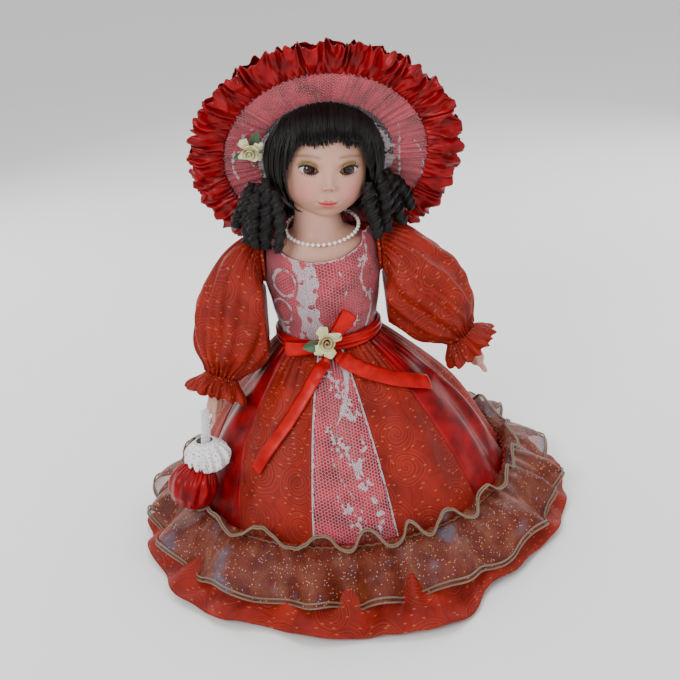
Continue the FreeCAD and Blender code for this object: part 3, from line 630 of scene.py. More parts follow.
def pearl():
    """Off-white bead with painted lustre: lighter where it faces the view and greyer towards its edge."""
    shade = Shade("pearl", Roughness=0.22, Coat_Weight=0.7, Coat_Roughness=0.1, Specular_IOR_Level=0.7)
    # Painted lustre and shade: light in the middle of each bead as seen, grey towards its rim.
    tone = shade.node("LayerWeight", {"Blend": 0.5}).outputs["Facing"]
    colour = shade.mix(tone, (0.86, 0.80, 0.75), (0.66, 0.60, 0.62))
    cloud = shade.times(shade.noise(shade.place(), 600.0), 0.3)
    return shade.finish(shade.mix(cloud, colour, (0.95, 0.9, 0.84)))


def cloth(name, colour, dark, pitch=0.0007, rough=0.85):
    """Plain woven cotton."""
    shade = Shade(name, Roughness=rough, Sheen_Weight=0.25, Specular_IOR_Level=0.25)
    uv = shade.uv()
    height = weave_height(shade, uv, pitch)
    tone = shade.mix(shade.noise(uv, 90.0, 3.0), dark, colour)
    tone = shade.mix(shade.times(shade.step(height, 0.0, 1.0), 0.18), tone, dark)
    return shade.finish(tone, shade.bump(height, 0.4, 0.0003))


def hard(name, colour, dark, rough, metallic=0.0, scale=160.0, bump=0.15):
    """Enamel, wire, card or shoe leather, mapped by position."""
    shade = Shade(name, Roughness=rough, Metallic=metallic)
    place = shade.place()
    tone = shade.noise(place, scale, 4.0)
    wear = shade.noise(place, scale * 4, 2.0)
    roughness = shade.plus(rough * 0.8, shade.times(wear, rough * 0.4))
    return shade.finish(shade.mix(tone, dark, colour), shade.bump(wear, bump, 0.0003), roughness)


BROCADE = brocade()
CRIMSON = satin("crimson_satin", (0.34, 0.003, 0.008), (0.09, 0.001, 0.002), 0.25)
PINK = satin("pink_satin", (0.55, 0.022, 0.05), (0.16, 0.003, 0.008), 0.3)
RIBBON = satin("red_ribbon", (0.58, 0.004, 0.004), (0.26, 0.001, 0.001), 0.26)
CREAM = satin("cream_ribbon", (0.80, 0.77, 0.50), (0.56, 0.52, 0.28), 0.38, (1.0, 1.0, 0.8))
LEAF = satin("green_ribbon", (0.10, 0.16, 0.09), (0.03, 0.055, 0.03), 0.4, (0.7, 1.0, 0.7))
LACE = lace("net_lace", "motif")
CROCHET = crochet()
ORGANZA = organza()
ROLLED = rolled_edge()
FACE = china("bisque_face", True)
BISQUE = china("bisque", False)
EYE_GLASS = eye_glass()
HAIR = hair()
PEARL = pearl()
COTTON = cloth("white_cotton", (0.86, 0.85, 0.83), (0.70, 0.68, 0.66))
MUSLIN = cloth("muslin", (0.80, 0.72, 0.60), (0.62, 0.54, 0.43), 0.0009)
ENAMEL = hard("white_enamel", (0.86, 0.86, 0.84), (0.78, 0.78, 0.76), 0.25)
WIRE = hard("steel_wire", (0.62, 0.62, 0.64), (0.44, 0.44, 0.46), 0.3, 1.0)
CARD = hard("card", (0.60, 0.50, 0.37), (0.48, 0.39, 0.28), 0.85)
SHOE = hard("shoe_leather", (0.03, 0.028, 0.028), (0.012, 0.011, 0.011), 0.35, scale=400.0, bump=0.4)
LASH = hard("lash_fibre", (0.02, 0.015, 0.012), (0.006, 0.005, 0.005), 0.6)
THREAD = hard("thread", (0.8, 0.78, 0.75), (0.6, 0.58, 0.55), 0.8)


# ================================================================ skirt
gore_arc, flounce_arc = arc_through(GORE_ARC), arc_through(FLOUNCE_ARC)
frill_arc, header_arc = arc_through(FRILL_ARC), arc_through(HEADER_ARC)
petticoat_arc = arc_through(PETTICOAT_ARC)
GORE_ROWS = 80
LEAN = 8.0            # how far the hem sweeps to the doll's left
# How far the hem reaches at each azimuth, in degrees from the front.
HEM = curve_through([(-180, 171), (-140, 171), (-95, 170), (-60, 175), (-42, 181), (-25, 177),
                     (-10, 183), (8, 185), (25, 183), (31, 169), (45, 166), (62, 170), (85, 171),
                     (120, 171), (180, 171)])


def lean(z):
    """How far the skirt sways to the doll's left at a height."""
    return LEAN * (GORE_ARC[0][1] - z) / GORE_ARC[0][1]


def swept(arc, phi, t, lift=0.0, grow=0.0, rise=0.0):
    """A point over a turned arc: lifted off it, pushed outwards or raised."""
    where, normal = arc(t)
    z = where[..., 1] + normal[..., 1] * lift + rise
    return around(phi, where[..., 0] + normal[..., 0] * lift + grow, z, lean(z))




def gore_folds(phi, t):
    """Fine gathers at the waist that turn into broad soft folds lower down."""
    gathers = pleats(phi, 54, 3, sharp=0.8) * 0.85 * np.exp(-(t / 0.16) ** 2)
    broad = pleats(phi, 17, 5, spread=1.2) * (0.4 + 1.7 * smooth(t, 0.05, 0.65))
    drift = pleats(phi + 0.35 * t, 29, 6) * 0.45 * smooth(t, 0.1, 0.5)
    return gathers + broad + drift


def skirt_patch(start, end, lift=0.0, high=1.0, seam=True):
    """The skirt between two azimuths in degrees, with its UVs and each point's distance from a seam."""
    cols = 100
    t = down(cols, GORE_ROWS, 0.0, high)
    degrees = spread(start, end, cols, GORE_ROWS)
    phi = np.radians(degrees)
    r = gore_arc(t)[0][..., 0]
    side = np.minimum(degrees - degrees[:, :1], degrees[:, -1:] - degrees) * TURN / 360 * r
    dip = -0.9 * np.exp(-(side / 1.3) ** 2) if seam else 0.0
    points = swept(gore_arc, phi, t, lift + gore_folds(phi, t) + dip)
    middle = np.radians((degrees[:, :1] + degrees[:, -1:]) / 2)
    return points, join((phi - middle) * r, t * gore_arc.length) * MM, side


def gore(name, node, start, end, material, slot):
    """One panel of the skirt, between two seams."""
    points, uv, _ = skirt_patch(start, end, high=1.05)
    shift = [np.ravel(start)[0] * 3.7 * MM, 0]          # so that no two gores show the same stretch of cloth
    piece = Patch().grid(points, uv + shift).build(name, material, thick=0.5)
    place(piece, "doll", slot, node)


def gores():
    t = np.linspace(0, 1, GORE_ROWS)
    left_seam = 54 - 9 * smooth(t, 0.5, 1.0)
    gore("skirt_centre", "gore_centre", -14.5, 13.8, PINK, "pink_satin")
    gore("skirt_front_left", "gore_front_left", 13.8, 50, BROCADE, "brocade")
    gore("skirt_front_right", "gore_front_right", -left_seam, -14.5, BROCADE, "brocade")
    gore("skirt_side_left", "gore_side_left", 50, 84, CRIMSON, "crimson_satin")
    gore("skirt_side_right", "gore_side_right", -80, -left_seam, CRIMSON, "crimson_satin")
    gore("skirt_back_left", "gore_back_left", 84, 180, BROCADE, "brocade")
    gore("skirt_back_right", "gore_back_right", -180, -80, BROCADE, "brocade")


def blossoms(u, v, spots):
    """Woven flowers of five petals at (u, v, radius)."""
    total = np.zeros_like(u)
    for k, (u0, v0, radius) in enumerate(spots):
        angle = np.arctan2(v - v0, u - u0)
        r = np.hypot(u - u0, v - v0) / (radius * (0.78 + 0.30 * np.cos(5 * angle + k)))
        total = np.maximum(total, 0.8 * smooth(r, 1.15, 0.75) - 0.45 * hill(r, 0.0, 0.3))
    return total


def skirt_lace():
    """The net and lace panel down the skirt's front, with scalloped edges and a woven vine."""
    points, uv, side = skirt_patch(-14.9, 14.2, lift=1.1, seam=False)
    u, v = uv[..., 0] / MM, uv[..., 1] / MM
    vine = hill(u, 9 * np.sin(v / 17.0), 1.3) * 0.6 + hill(u, 4 + 0.09 * v + 5 * np.sin(v / 9.0), 5.0) * 0.62
    border = smooth(side, 3.0 + 1.0 * np.sin(v * 1.1), 0.6) * 0.9
    spots = [(-9 + 4 * k % 23, 9 + 8.5 * k, 4.4 + k % 3) for k in range(16)]
    motif = np.maximum(np.maximum(vine, border), blossoms(u, v, spots))
    piece = Patch().grid(points, uv, motif=motif).build("skirt_lace", LACE)
    place(piece, "doll", "white_net", "lace_panel")


def flounce():
    """The gathered brocade flounce that lies on the floor."""
    cols, rows = 1300, 34
    phi = full_turn(cols, rows, -math.pi)
    t = down(cols, rows)
    fine = pleats(phi, 96, 21, sharp=0.8) * 1.3 * np.exp(-(t / 0.3) ** 2)
    mid = pleats(phi + 0.12 * t, 41, 22) * 2.0 * smooth(t, 0.0, 0.4) * (1 - 0.5 * t)
    broad = pleats(phi - 0.1 * t, 17, 23, spread=1.1) * 3.6 * smooth(t, 0.1, 1.0)
    grow = (HEM(np.degrees(phi)) - FLOUNCE_ARC[2][0]) * t ** 1.5 + 0.35 * broad
    rise = 1.3 * smooth(t, 0.6, 1.0) * (1 + pleats(phi, 23, 24) * 0.6)
    lift = (fine + mid + broad * 0.75) * (1 - 0.45 * smooth(t, 0.75, 1.0)) + 2.0
    points = swept(flounce_arc, phi, t, lift, grow, rise)
    points[..., 2] = np.maximum(points[..., 2], 0.9)
    uv = unrolled(cols, rows, TURN * 185, flounce_arc.length, left=-math.pi * 185)
    piece = Patch().grid(points, uv, wrap=True).build("hem_flounce", BROCADE, thick=0.9)
    place(piece, "doll", "brocade", "flounce")


def ruffle_rows(arc, rows, folds, count, seed, lift, drop=0.0):
    """A gathered strip that waves more towards its free edge."""
    cols = 1100
    phi = full_turn(cols, rows, -math.pi)
    t = down(cols, rows, 0.0, 1.0 + drop)
    fine = pleats(phi, count * 3, seed + 1, sharp=0.8) * 0.8 * (1 - 0.6 * smooth(t, 0, 1))
    wave = pleats(phi + 0.05 * np.sin(5 * phi) * t, count, seed, spread=1.0, sharp=0.85)
    other = pleats(phi + 0.04, count, seed + 2, spread=1.0)
    strength = folds * smooth(t, -0.1, 0.9)
    push, rise = 0.35 * other * strength, 0.35 * wave * strength
    return swept(arc, phi, t, lift + fine + wave * strength, push, rise)


def organza_piece(name, node, arc, folds, count, seed):
    """A sheer strip with a rolled edge, and a second rolled edge a little way off it."""
    rows = 16
    sheet, cords = Patch(), Patch()
    for layer, (lift, drop) in enumerate(((1.6, 0.0), (2.9, -0.07))):
        points = ruffle_rows(arc, rows, folds, count, seed, lift + 1.2, drop)
        if layer == 0:
            sheet.grid(points, unrolled(points.shape[1], rows, TURN * 150, arc.length), wrap=True)
        cords.tube(np.concatenate([points[-1], points[-1][:2]]), 0.75)
    cloth_piece = sheet.build(name, ORGANZA)
    edge_piece = cords.build(name + "_edge", ROLLED)
    place(edge_piece, "doll", "organza")
    place(cloth_piece, "doll", "organza", node)


def gather_stitch():
    """The gathering thread between the ruffle and its standing header."""
    phi = np.linspace(-math.pi, math.pi, 700)
    ring = swept(header_arc, phi, np.zeros_like(phi), 1.2 + 0.4 * pleats(phi, 150, 8))
    piece = Patch().tube(ring, 0.7).build("organza_stitch", ROLLED)
    place(piece, "doll", "organza")


def petticoat():
    """A cotton underskirt inside the gores."""
    cols, rows = 420, 40
    phi, t = full_turn(cols, rows, -math.pi), down(cols, rows)
    where, normal = petticoat_arc(t)
    lift = pleats(phi, 30, 31) * smooth(t, 0.0, 1.0) - 1.6
    at = where + normal * lift[..., None]
    uv = unrolled(cols, rows, TURN * 100, petticoat_arc.length)
    patch = Patch().grid(around(phi, at[..., 0], at[..., 1], SKIRT_X), uv, wrap=True)
    piece = patch.build("petticoat_cloth", COTTON, thick=0.4)
    place(piece, "doll", "white_cotton", "petticoat")


# ================================================================ body and bodice
def oval(phi, a, b, z):
    """A point on an oval round the body's axis, at azimuth phi from the front."""
    return join(a * np.sin(phi), -b * np.cos(phi), z)


def ring_grid(sections, z, cols=180):
    """The skin over oval sections, at the heights z."""
    phi = full_turn(cols, len(z), -math.pi)
    height = np.repeat(np.asarray(z, float)[:, None], cols + 1, 1)
    ab = curve_through(sections)(height)
    uv = join(spread(-math.pi, math.pi, cols + 1, len(z)) * ab[:, :1, 0], height) * MM
    return oval(phi, ab[:, :-1, 0], ab[:, :-1, 1], height[:, :-1]), uv


def torso():
    """The stuffed cloth body."""
    z = np.linspace(TORSO[0][0], TORSO[-1][0], 50)
    points, uv = ring_grid(TORSO, z)
    closed = np.concatenate([points[:1] * [0, 0, 1], points, points[-1:] * [0, 0, 1]])
    uv = np.concatenate([uv[:1], uv, uv[-1:]])
    piece = Patch().grid(closed, uv, wrap=True).build("stuffed_torso", MUSLIN)
    place(piece, "doll", "muslin", "torso")


def bust():
    """Shoulder plate and neck, with soft collarbones and the hollow of the throat."""
    z = np.concatenate([np.linspace(204, 246, 50), np.linspace(247, 268, 16)])
    points, uv = ring_grid(PLATE, z, cols=220)
    x, y, height = points[..., 0], points[..., 1], points[..., 2]
    front = smooth(-y, 8, 18)
    bones = 0.9 * hill(height, 238 - 0.05 * np.abs(x), 2.4) * hill(np.abs(x), 14, 10) * front
    throat = -1.2 * hill(x, 0, 4) * hill(height, 240, 3.5) * front
    points[..., 1] -= bones + throat
    piece = Patch().grid(points, uv, wrap=True).build("china_bust", BISQUE, thick=0.8)
    place(piece, "doll", "bisque")


def neck_height(x, front):
    """The scooped neckline's height at x, deeper in front."""
    a, middle, deep, shallow = NECKLINE
    dip = np.sqrt(np.clip(1 - (x / a) ** 2, 0, 1))
    return np.minimum(middle - np.where(front, deep, shallow) * dip, BODICE[-1][0])


def bodice_grid(first, last, grow):
    """A stretch of the bodice between two azimuths, up to the scooped neckline."""
    rows, cols = 60, 150
    shape = curve_through(BODICE)
    phi = np.radians(spread(first, last, cols, rows))
    x = shape(np.full_like(phi, 238.0))[..., 0] * np.sin(phi)
    top = neck_height(x, np.cos(phi) > 0)
    s = down(cols, rows)
    z = BODICE[0][0] + (top - BODICE[0][0]) * s
    ab = shape(z)
    pulls = 0.5 * pleats(phi, 30, 41) * smooth(z, 178, 158)
    rumple = 0.35 * pleats(phi + z * 0.012, 13, 42)
    points = oval(phi, ab[..., 0] + grow + pulls + rumple, ab[..., 1] + grow + pulls + rumple, z)
    bust_line = 2.2 * hill(np.abs(points[..., 0]), 15, 10) * hill(z, 205, 13) * smooth(np.cos(phi), 0.2, 0.7)
    points[..., 1] -= bust_line
    uv = join(phi * 40.0, z) * MM
    return points, uv, top - z


def bodice():
    """Satin in front and brocade behind, drawn in at the waist."""
    points, uv, _ = bodice_grid(-92, 92, 0.0)
    front = Patch().grid(points, uv).build("bodice_satin", PINK, thick=0.7)
    place(front, "doll", "pink_satin", "bodice_front")
    points, uv, _ = bodice_grid(92, 268, 0.0)
    back = Patch().grid(points, uv).build("bodice_brocade", BROCADE, thick=0.7)
    place(back, "doll", "brocade", "bodice_back")


def bodice_net():
    """Net over the bodice's front, with a lace band, scrolls, a scalloped border and flowers."""
    points, uv, below = bodice_grid(-90, 90, 1.0)
    x, z = points[..., 0], points[..., 2]
    band = 0.74 * smooth(np.abs(x + 13 + 1.5 * np.sin(z / 5)), 10.5, 6.5)
    scroll = 0.8 * hill(np.hypot(x + 29, (z - 212) * 0.8), 8, 1.6)
    scroll += 0.8 * hill(np.hypot(x + 33, (z - 188) * 0.7), 7, 1.5)
    scroll += 0.7 * hill(x, 31 + 3 * np.sin(z / 7), 1.6) + 0.6 * hill(x, 12 + 4 * np.sin(z / 8 + 1), 1.2)
    border = 0.85 * smooth(below, 2.4 + 0.8 * np.sin(x * 1.3), 0.8)
    spots = [(30, 222, 5), (33, 196, 4), (20, 178, 5), (-33, 172, 5)]
    motif = np.maximum.reduce([band, scroll, border, blossoms(x, z, spots)])
    net = Patch().grid(points, uv, motif=motif).build("bodice_net", LACE)
    place(net, "doll", "white_net", "bodice_lace")


def armhole_binding():
    """The gathered edge of the bodice round each armhole, just inside the sleeve."""
    turn = np.linspace(0, TURN, 161)[:-1]
    patch = Patch()
    for sign in (-1, 1):
        for radius in (9.6, 12.4, 15.0):
            r = radius + 0.4 * pleats(turn, 30, 45)
            ring = join(np.full_like(turn, sign * 43.9), r * np.cos(turn), 222 + r * np.sin(turn))
            patch.tube(np.concatenate([ring, ring[:2]]), 1.3, sides=8)
    place(patch.build("armhole_binding", BROCADE), "doll", "brocade")


def sash():
    """The ribbon wound round the waist."""
    cols, rows = 360, 16
    phi, s = full_turn(cols, rows, -math.pi), down(cols, rows)
    z = SASH_Z[0] + (SASH_Z[1] - SASH_Z[0]) * s + 0.8 * np.sin(phi * 2)
    swell = 1.5 * np.sin(math.pi * s) ** 0.6 + 0.7 * np.sin(TURN * (s * 2.2 + 0.5 * np.sin(phi)))
    grow = 1.6 + swell
    points = oval(phi, 37.6 + grow, 35.8 + grow, z)
    uv = unrolled(cols, rows, TURN * 38, 13, left=-math.pi * 38)
    piece = Patch().grid(points, uv, wrap=True).build("waist_sash", RIBBON, thick=0.5)
    place(piece, "doll", "red_ribbon", "sash")


def strip(path, sides, width, cup):
    """A ribbon along a path; `sides` point across it and `cup` lifts its middle."""
    path, sides = np.asarray(path, float), unit(np.broadcast_to(sides, np.shape(path)))
    tangent = unit(np.gradient(path, axis=0))
    normal = np.cross(tangent, sides)
    w = np.linspace(-0.5, 0.5, 9)
    width = np.broadcast_to(width, len(path))[:, None, None]
    lift = cup * (1 - (2 * w) ** 2)
    points = path[:, None] + sides[:, None] * (w[:, None] * width) + normal[:, None] * lift[:, None]
    length = np.concatenate([[0], np.cumsum(np.linalg.norm(np.diff(path, axis=0), axis=1))])
    return points, join(*np.meshgrid(w * float(np.mean(width)), length)) * MM


def bow_loop(direction, reach, width):
    """A soft loop out of the knot: the front layer bulges forward and the back one lies behind it."""
    d = unit(np.array(direction, float))
    across = unit(np.cross(d, [0, 1, 0]))
    s = np.linspace(0, 1, 44)
    out = reach * np.sin(math.pi * s) ** 0.75
    depth = -5.5 * np.cos(math.pi * s) * np.sin(math.pi * s) ** 0.5 - 1.0
    path = BOW + d * out[:, None] + np.array([0, 1, 0]) * depth[:, None]
    wide = width * (0.42 + 0.58 * np.sin(math.pi * s) ** 0.5)
    return strip(path, across, wide, cup=0.9)


def bow_loops():
    """The two loops of the waist bow."""
    loops = Patch()
    for direction in ((-1, 0, 0.05), (0.62, 0, 0.8)):
        loops.grid(*bow_loop(direction, 31, 12))
    piece = loops.build("bow_loops_cloth", RIBBON, thick=0.35, levels=1)
    place(piece, "doll", "red_ribbon", "bow_loops")


def bow_tails():
    """Two ribbon ends that lie down the skirt; each route is a list of (azimuth in degrees, height)."""
    tails = Patch()
    for route, width in ((((-4, 154), (-14, 143), (-24, 128), (-33, 106), (-40, 84)), 10.5),
                         (((4, 155), (20, 146), (36, 137), (52, 128), (63, 120)), 13.0)):
        s, down_arc = np.linspace(0, 1, 60), np.linspace(0, 1, 200)
        at = curve_through(np.column_stack([np.linspace(0, 1, len(route)), route]))(s)
        t = np.interp(-at[:, 1], -gore_arc(down_arc)[0][:, 1], down_arc)
        phi = np.radians(at[:, 0])
        lift = 3.0 + gore_folds(phi, t) + 0.8 * np.sin(s * 9)
        path = swept(gore_arc, phi, t, lift)
        above = swept(gore_arc, phi, t, lift + 1.0) - path
        sides = np.cross(unit(np.gradient(path, axis=0)), above)
        tails.grid(*strip(path, sides, width * (0.5 + 0.5 * smooth(s, 0, 0.12)), cup=-0.9))
    piece = tails.build("bow_tails_cloth", RIBBON, thick=0.35)
    place(piece, "doll", "red_ribbon", "bow_tails")


def rose(name, centre, facing, radius, body, node, seed, leaves, frame_of=None):
    """A folded-ribbon rose: a wound bud inside pointed petals, on two satin leaves at (angle, size)."""
    draw = np.random.default_rng(seed)
    axis = unit(np.array(facing, float))
    side = unit(np.cross([0, 0, 1], axis))
    up = np.cross(axis, side)
    bloom, foliage = Patch(), Patch()

    def local(x, y, z):
        return centre + join(x, y, z) @ np.array([side, up, axis])

    wind, height = np.meshgrid(np.linspace(0, 2.6, 70), np.linspace(0, 1, 8))
    r = radius * (0.07 + 0.13 * wind + 0.10 * height * wind)
    z = radius * (0.15 + height * (0.85 - 0.12 * wind) + 0.05 * np.sin(wind * 9))
    turn = TURN * wind
    bloom.grid(local(r * np.cos(turn), r * np.sin(turn), z), join(wind * 20, height * 6) * MM)
    for k in range(8):
        a = TURN * (k / 8 * 2 + 0.13 * draw.random())
        outer = k >= 4
        w, b = np.meshgrid(np.linspace(-1, 1, 15), np.linspace(0, 1, 12))
        point = b + 0.16 * b * (1 - np.abs(w)) ** 1.5 * (1.6 if outer else 1.0)
        reach = radius * (0.25 + (0.80 if outer else 0.48) * point)
        turn = a + w * (0.62 if outer else 0.72) * (1 - 0.25 * b)
        z = radius * ((0.02 + 0.42 * b - 0.42 * b ** 3) if outer else (0.1 + 0.85 * b - 0.35 * b ** 3))
        z = z + radius * 0.10 * np.cos(3 * w) * b
        bloom.grid(local(reach * np.cos(turn), reach * np.sin(turn), z), join(w * 6, b * 8) * MM)
    for degrees, size in leaves:
        a = math.radians(degrees)
        s, w = np.meshgrid(np.linspace(0, 1, 24), np.linspace(-1, 1, 11), indexing="ij")
        half = radius * 0.42 * size * np.sin(math.pi * np.clip(s, 0, 1) ** 0.8) ** 0.8
        along, across = radius * (0.45 + 1.35 * size * s), half * w
        z = radius * (-0.05 + 0.16 * np.abs(w) * np.sin(math.pi * s) + 0.10 * np.sin(4 * s))
        x = along * math.cos(a) - across * math.sin(a)
        y = along * math.sin(a) + across * math.cos(a)
        foliage.grid(local(x, y, z), join(w * 4, s * 12) * MM)
    if frame_of is not None:
        for patch in (bloom, foliage):
            patch.points = [frame_of(p) for p in patch.points]
    flower = bloom.build(name, CREAM, thick=0.25, levels=1)
    leaf = foliage.build(name + "_leaves", LEAF, thick=0.25)
    place(leaf, body, "cream_ribbon")
    place(flower, body, "cream_ribbon", node)


def waist_rose():
    rose("waist_rose_bloom", BOW + [0, -5.0, 5.0], (0.05, -1, 0.25), 10.5, "doll", "waist_rose", 4,
         leaves=((188, 1.0), (35, 0.8)))


# ================================================================ arms
def arm_frame(side):
    """The shoulder, and the arm's directions down it and forwards."""
    start = SHOULDER[side]
    axis = unit(WRIST[side] - start)
    forward = unit(np.cross(axis, [0, 0, 1.0]))
    return start, axis, forward if forward[1] < 0 else -forward


def arm_ring(side, s, radius, theta):
    """A point at distance s down the arm; the first rings turn to face the armhole."""
    start, axis, forward = arm_frame(side)
    out = np.array([1.0 if side == "left" else -1.0, 0, 0])
    w = smooth(s, -4, 26)[..., None]
    normal = unit(out * (1 - w) + axis * w)
    e1 = unit(forward - normal * (normal @ forward)[..., None])
    e2 = np.cross(normal, e1)
    centre = start + axis * np.maximum(s, 0)[..., None] + out * np.minimum(s, 0)[..., None] * 0.6
    ring = e1 * np.cos(theta)[..., None] + e2 * np.sin(theta)[..., None]
    return centre + ring * radius[..., None]


def sleeve(side):
    """A puffed sleeve, gathered at the armhole and at the cuff."""
    cols, rows = 240, 90
    theta = full_turn(cols, rows)
    s = down(cols, rows, -4, CUFF_START)
    radius = curve_through(SLEEVE)(s)
    seed = 50 if side == "left" else 60
    top = pleats(theta, 30, seed, sharp=0.8) * 1.5 * np.exp(-((s + 4) / 15) ** 2)
    bottom = pleats(theta, 26, seed + 1, sharp=0.8) * 2.0 * np.exp(-((s - 92) / 14) ** 2)
    folds = pleats(theta + s * 0.006, 13, seed + 2, spread=1.2, sharp=0.8) * 2.2 * hill(s, 55, 40)
    points = arm_ring(side, s, radius, theta)
    dents = crumple(points, 24, seed + 3) * 2.0 * hill(s, 45, 34)
    points = arm_ring(side, s, radius + top + bottom + folds + dents, theta)
    sign = 1 if side == "left" else -1
    points[..., 0] = sign * np.maximum(sign * points[..., 0], SLEEVE_X + 0.02 * (s + 4))
    uv = unrolled(cols, rows, TURN * 30, (CUFF_START + 4) * 1.15, top=-4 * 1.15)
    piece = Patch().grid(points, uv, wrap=True).build(f"sleeve_{side}_cloth", BROCADE, thick=0.6)
    place(piece, f"arm_{side}", "brocade", f"sleeve_{side}")


def cuff(side):
    """A flared, gathered cuff."""
    cols, rows = 260, 18
    theta = full_turn(cols, rows)
    t = down(cols, rows)
    s = CUFF_START + (CUFF_END - CUFF_START) * t * 0.92
    seed = 70 if side == "left" else 80
    wave = pleats(theta, 13, seed, spread=1.0) * 2.8 * smooth(t, 0.1, 1.0)
    fine = pleats(theta, 34, seed + 1) * 0.8 * (1 - 0.6 * t)
    radius = 11.2 + 10.5 * smooth(t, -0.15, 0.9) + wave + fine
    s = s + 0.7 * pleats(theta + 0.1, 13, seed, spread=1.0) * t * 1.6
    points = arm_ring(side, s, radius, theta)
    uv = unrolled(cols, rows, TURN * 26, 20)
    piece = Patch().grid(points, uv, wrap=True).build(f"cuff_{side}_cloth", BROCADE, thick=0.7)
    place(piece, f"arm_{side}", "brocade", f"cuff_{side}")


def smoothed_copy(node, name, body):
    """A blended copy of a china CAD solid: its fused rods and balls flow into one another."""
    thing = bpy.data.objects.new(name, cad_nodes[node].data.copy())
    bpy.context.scene.collection.objects.link(thing)
    remesh = thing.modifiers.new("remesh", "REMESH")
    remesh.mode, remesh.voxel_size = "VOXEL", 0.55 * MM
    relax = thing.modifiers.new("relax", "SMOOTH")
    relax.factor, relax.iterations = 0.5, 9
    final = bpy.data.meshes.new_from_object(thing.evaluated_get(bpy.context.evaluated_depsgraph_get()))
    thing.modifiers.clear()
    thing.data = final
    final.materials.clear()
    final.materials.append(BISQUE)
    final.polygons.foreach_set("use_smooth", [True] * len(final.polygons))
    place(thing, body, "bisque", node)


def upper_arm(side):
    """The stuffed cloth arm inside a sleeve."""
    cols, rows = 60, 34
    theta, s = full_turn(cols, rows), down(cols, rows, -3, 50)
    radius = curve_through([(-3, 8.0), (0, 8.8), (25, 9.0), (44, 8.6), (50, 7.9)])(s)
    points = arm_ring(side, s, radius + 0.25 * pleats(theta, 9, 90), theta)
    top, bottom = (np.repeat(points[row].mean(0)[None, None], cols, 1) for row in (0, -1))
    patch = Patch().grid(np.concatenate([top, points, bottom]), unrolled(cols, rows + 2, 56, 58), wrap=True)
    piece = patch.build(f"upper_arm_{side}_cloth", MUSLIN)
    place(piece, f"arm_{side}", "muslin", f"upper_arm_{side}")


# ================================================================ legs
def round_leg(side, radius, theta, z):
    """A point round a leg's upright axis."""
    return join(HIP_X * (1 if side == "left" else -1) + radius * np.cos(theta), radius * np.sin(theta), z)


def thigh(side):
    """The stuffed thigh, round over the hip and straight down to the china leg."""
    cols, rows = 60, 40
    theta, z = full_turn(cols, rows), down(cols, rows, HIP_Z + 10.4, KNEE_Z)
    dome = np.sqrt(np.clip(THIGH_R ** 2 - (z - HIP_Z) ** 2, 1, None))
    radius = np.where(z > HIP_Z, dome, THIGH_R - 0.8 * smooth(z, 72, 60))
    ends = [round_leg(side, 0.0, theta[:1], z[row]) for row in (0, -1)]
    closed = np.concatenate([ends[0], round_leg(side, radius, theta, z), ends[1]])
    patch = Patch().grid(closed, unrolled(cols, rows + 2, 69, 62), wrap=True)
    piece = patch.build(f"thigh_{side}_cloth", MUSLIN)
    place(piece, f"leg_{side}", "muslin", f"thigh_{side}")


def pantaloon(side):
    """A cotton leg with a gathered band above its hem."""
    cols, rows, top = 120, 50, HIP_Z - 14
    theta, z = full_turn(cols, rows), down(cols, rows, top, 40)
    t = (top - z) / (HIP_Z - 54)
    gathers = pleats(theta, 22, 92) * (0.35 + 0.5 * hill(z, 42, 5))
    radius = 12.6 + 0.8 * np.sin(math.pi * t) - 0.9 * hill(z, 47, 2.5) + gathers
    patch = Patch().grid(round_leg(side, radius, theta, z), unrolled(cols, rows, 85, 58), wrap=True)
    piece = patch.build(f"pantaloon_{side}_cloth", COTTON, thick=0.4)
    place(piece, f"leg_{side}", "white_cotton", f"pantaloon_{side}")


# ================================================================ head
def head_grid():
    """The bare egg of the head, with its points closer together on the face."""
    lat = np.linspace(0.985 * math.pi, 0.02, 380)[:, None]
    turn = np.linspace(-math.pi, math.pi, 421)[None, :-1]
    return HEAD_R * from_top(lat, turn - 0.42 * np.sin(turn))


def almond(x, side):
    """Across an eye's opening from -1 to 1, and the heights of its upper and lower lid lines."""
    u = (x - side * EYE[0]) / EYE_HALF
    tip = np.clip(1 - u * u, 0, 1)
    middle = EYE[2] + EYE_SLANT * side * u
    return u, middle + LID_UP * tip ** 0.62, middle - LID_DOWN * tip ** 0.75


# Bumps on the face, the same on both sides: how far each rises, then its middle and half width across
# and its middle and half height, all from the middle of the head.
FACE_BUMPS = [(2.3, 15.5, 9.5, -19.0, 10.5),                       # cheeks
              (2.6, 0.0, 8.0, -39.0, 5.2),                         # chin
              (-1.2, 0.0, 7.0, -32.6, 2.3),                        # dip over the chin
              (2.4, 0.0, 11.0, -26.0, 6.5),                        # round of the mouth
              (-2.0, EYE[0] - 0.5, 7.5, EYE[2] + 0.8, 5.0),        # eye sockets
              (-1.5, 7.6, 2.8, EYE[2] + 1.0, 4.5),                 # beside the bridge of the nose
              (1.0, 14.5, 9.0, EYE[2] + 9.2, 3.2),                 # brow bones
              (2.3, 3.7, 1.8, -12.8, 2.1),                         # wings of the nose
              (-2.2, 2.1, 0.95, -14.9, 0.75),                      # nostrils
              (-0.7, 0.0, 1.4, -19.2, 2.9),                        # groove under the nose
              (-0.9, MOUTH_HALF + 0.9, 1.1, -25.3, 1.6)]           # corners of the mouth
nose_rise = curve_through([(-17, 0.0), (-15, 1.4), (-12.6, 4.9), (-10.8, 5.9), (-8.5, 4.9), (-4, 2.6),
                           (1, 1.3), (6, 0.5), (12, 0.0)])
nose_half = curve_through([(-17, 5.0), (-12.5, 4.2), (-8, 3.8), (-2, 3.6), (6, 5.0), (12, 6)])


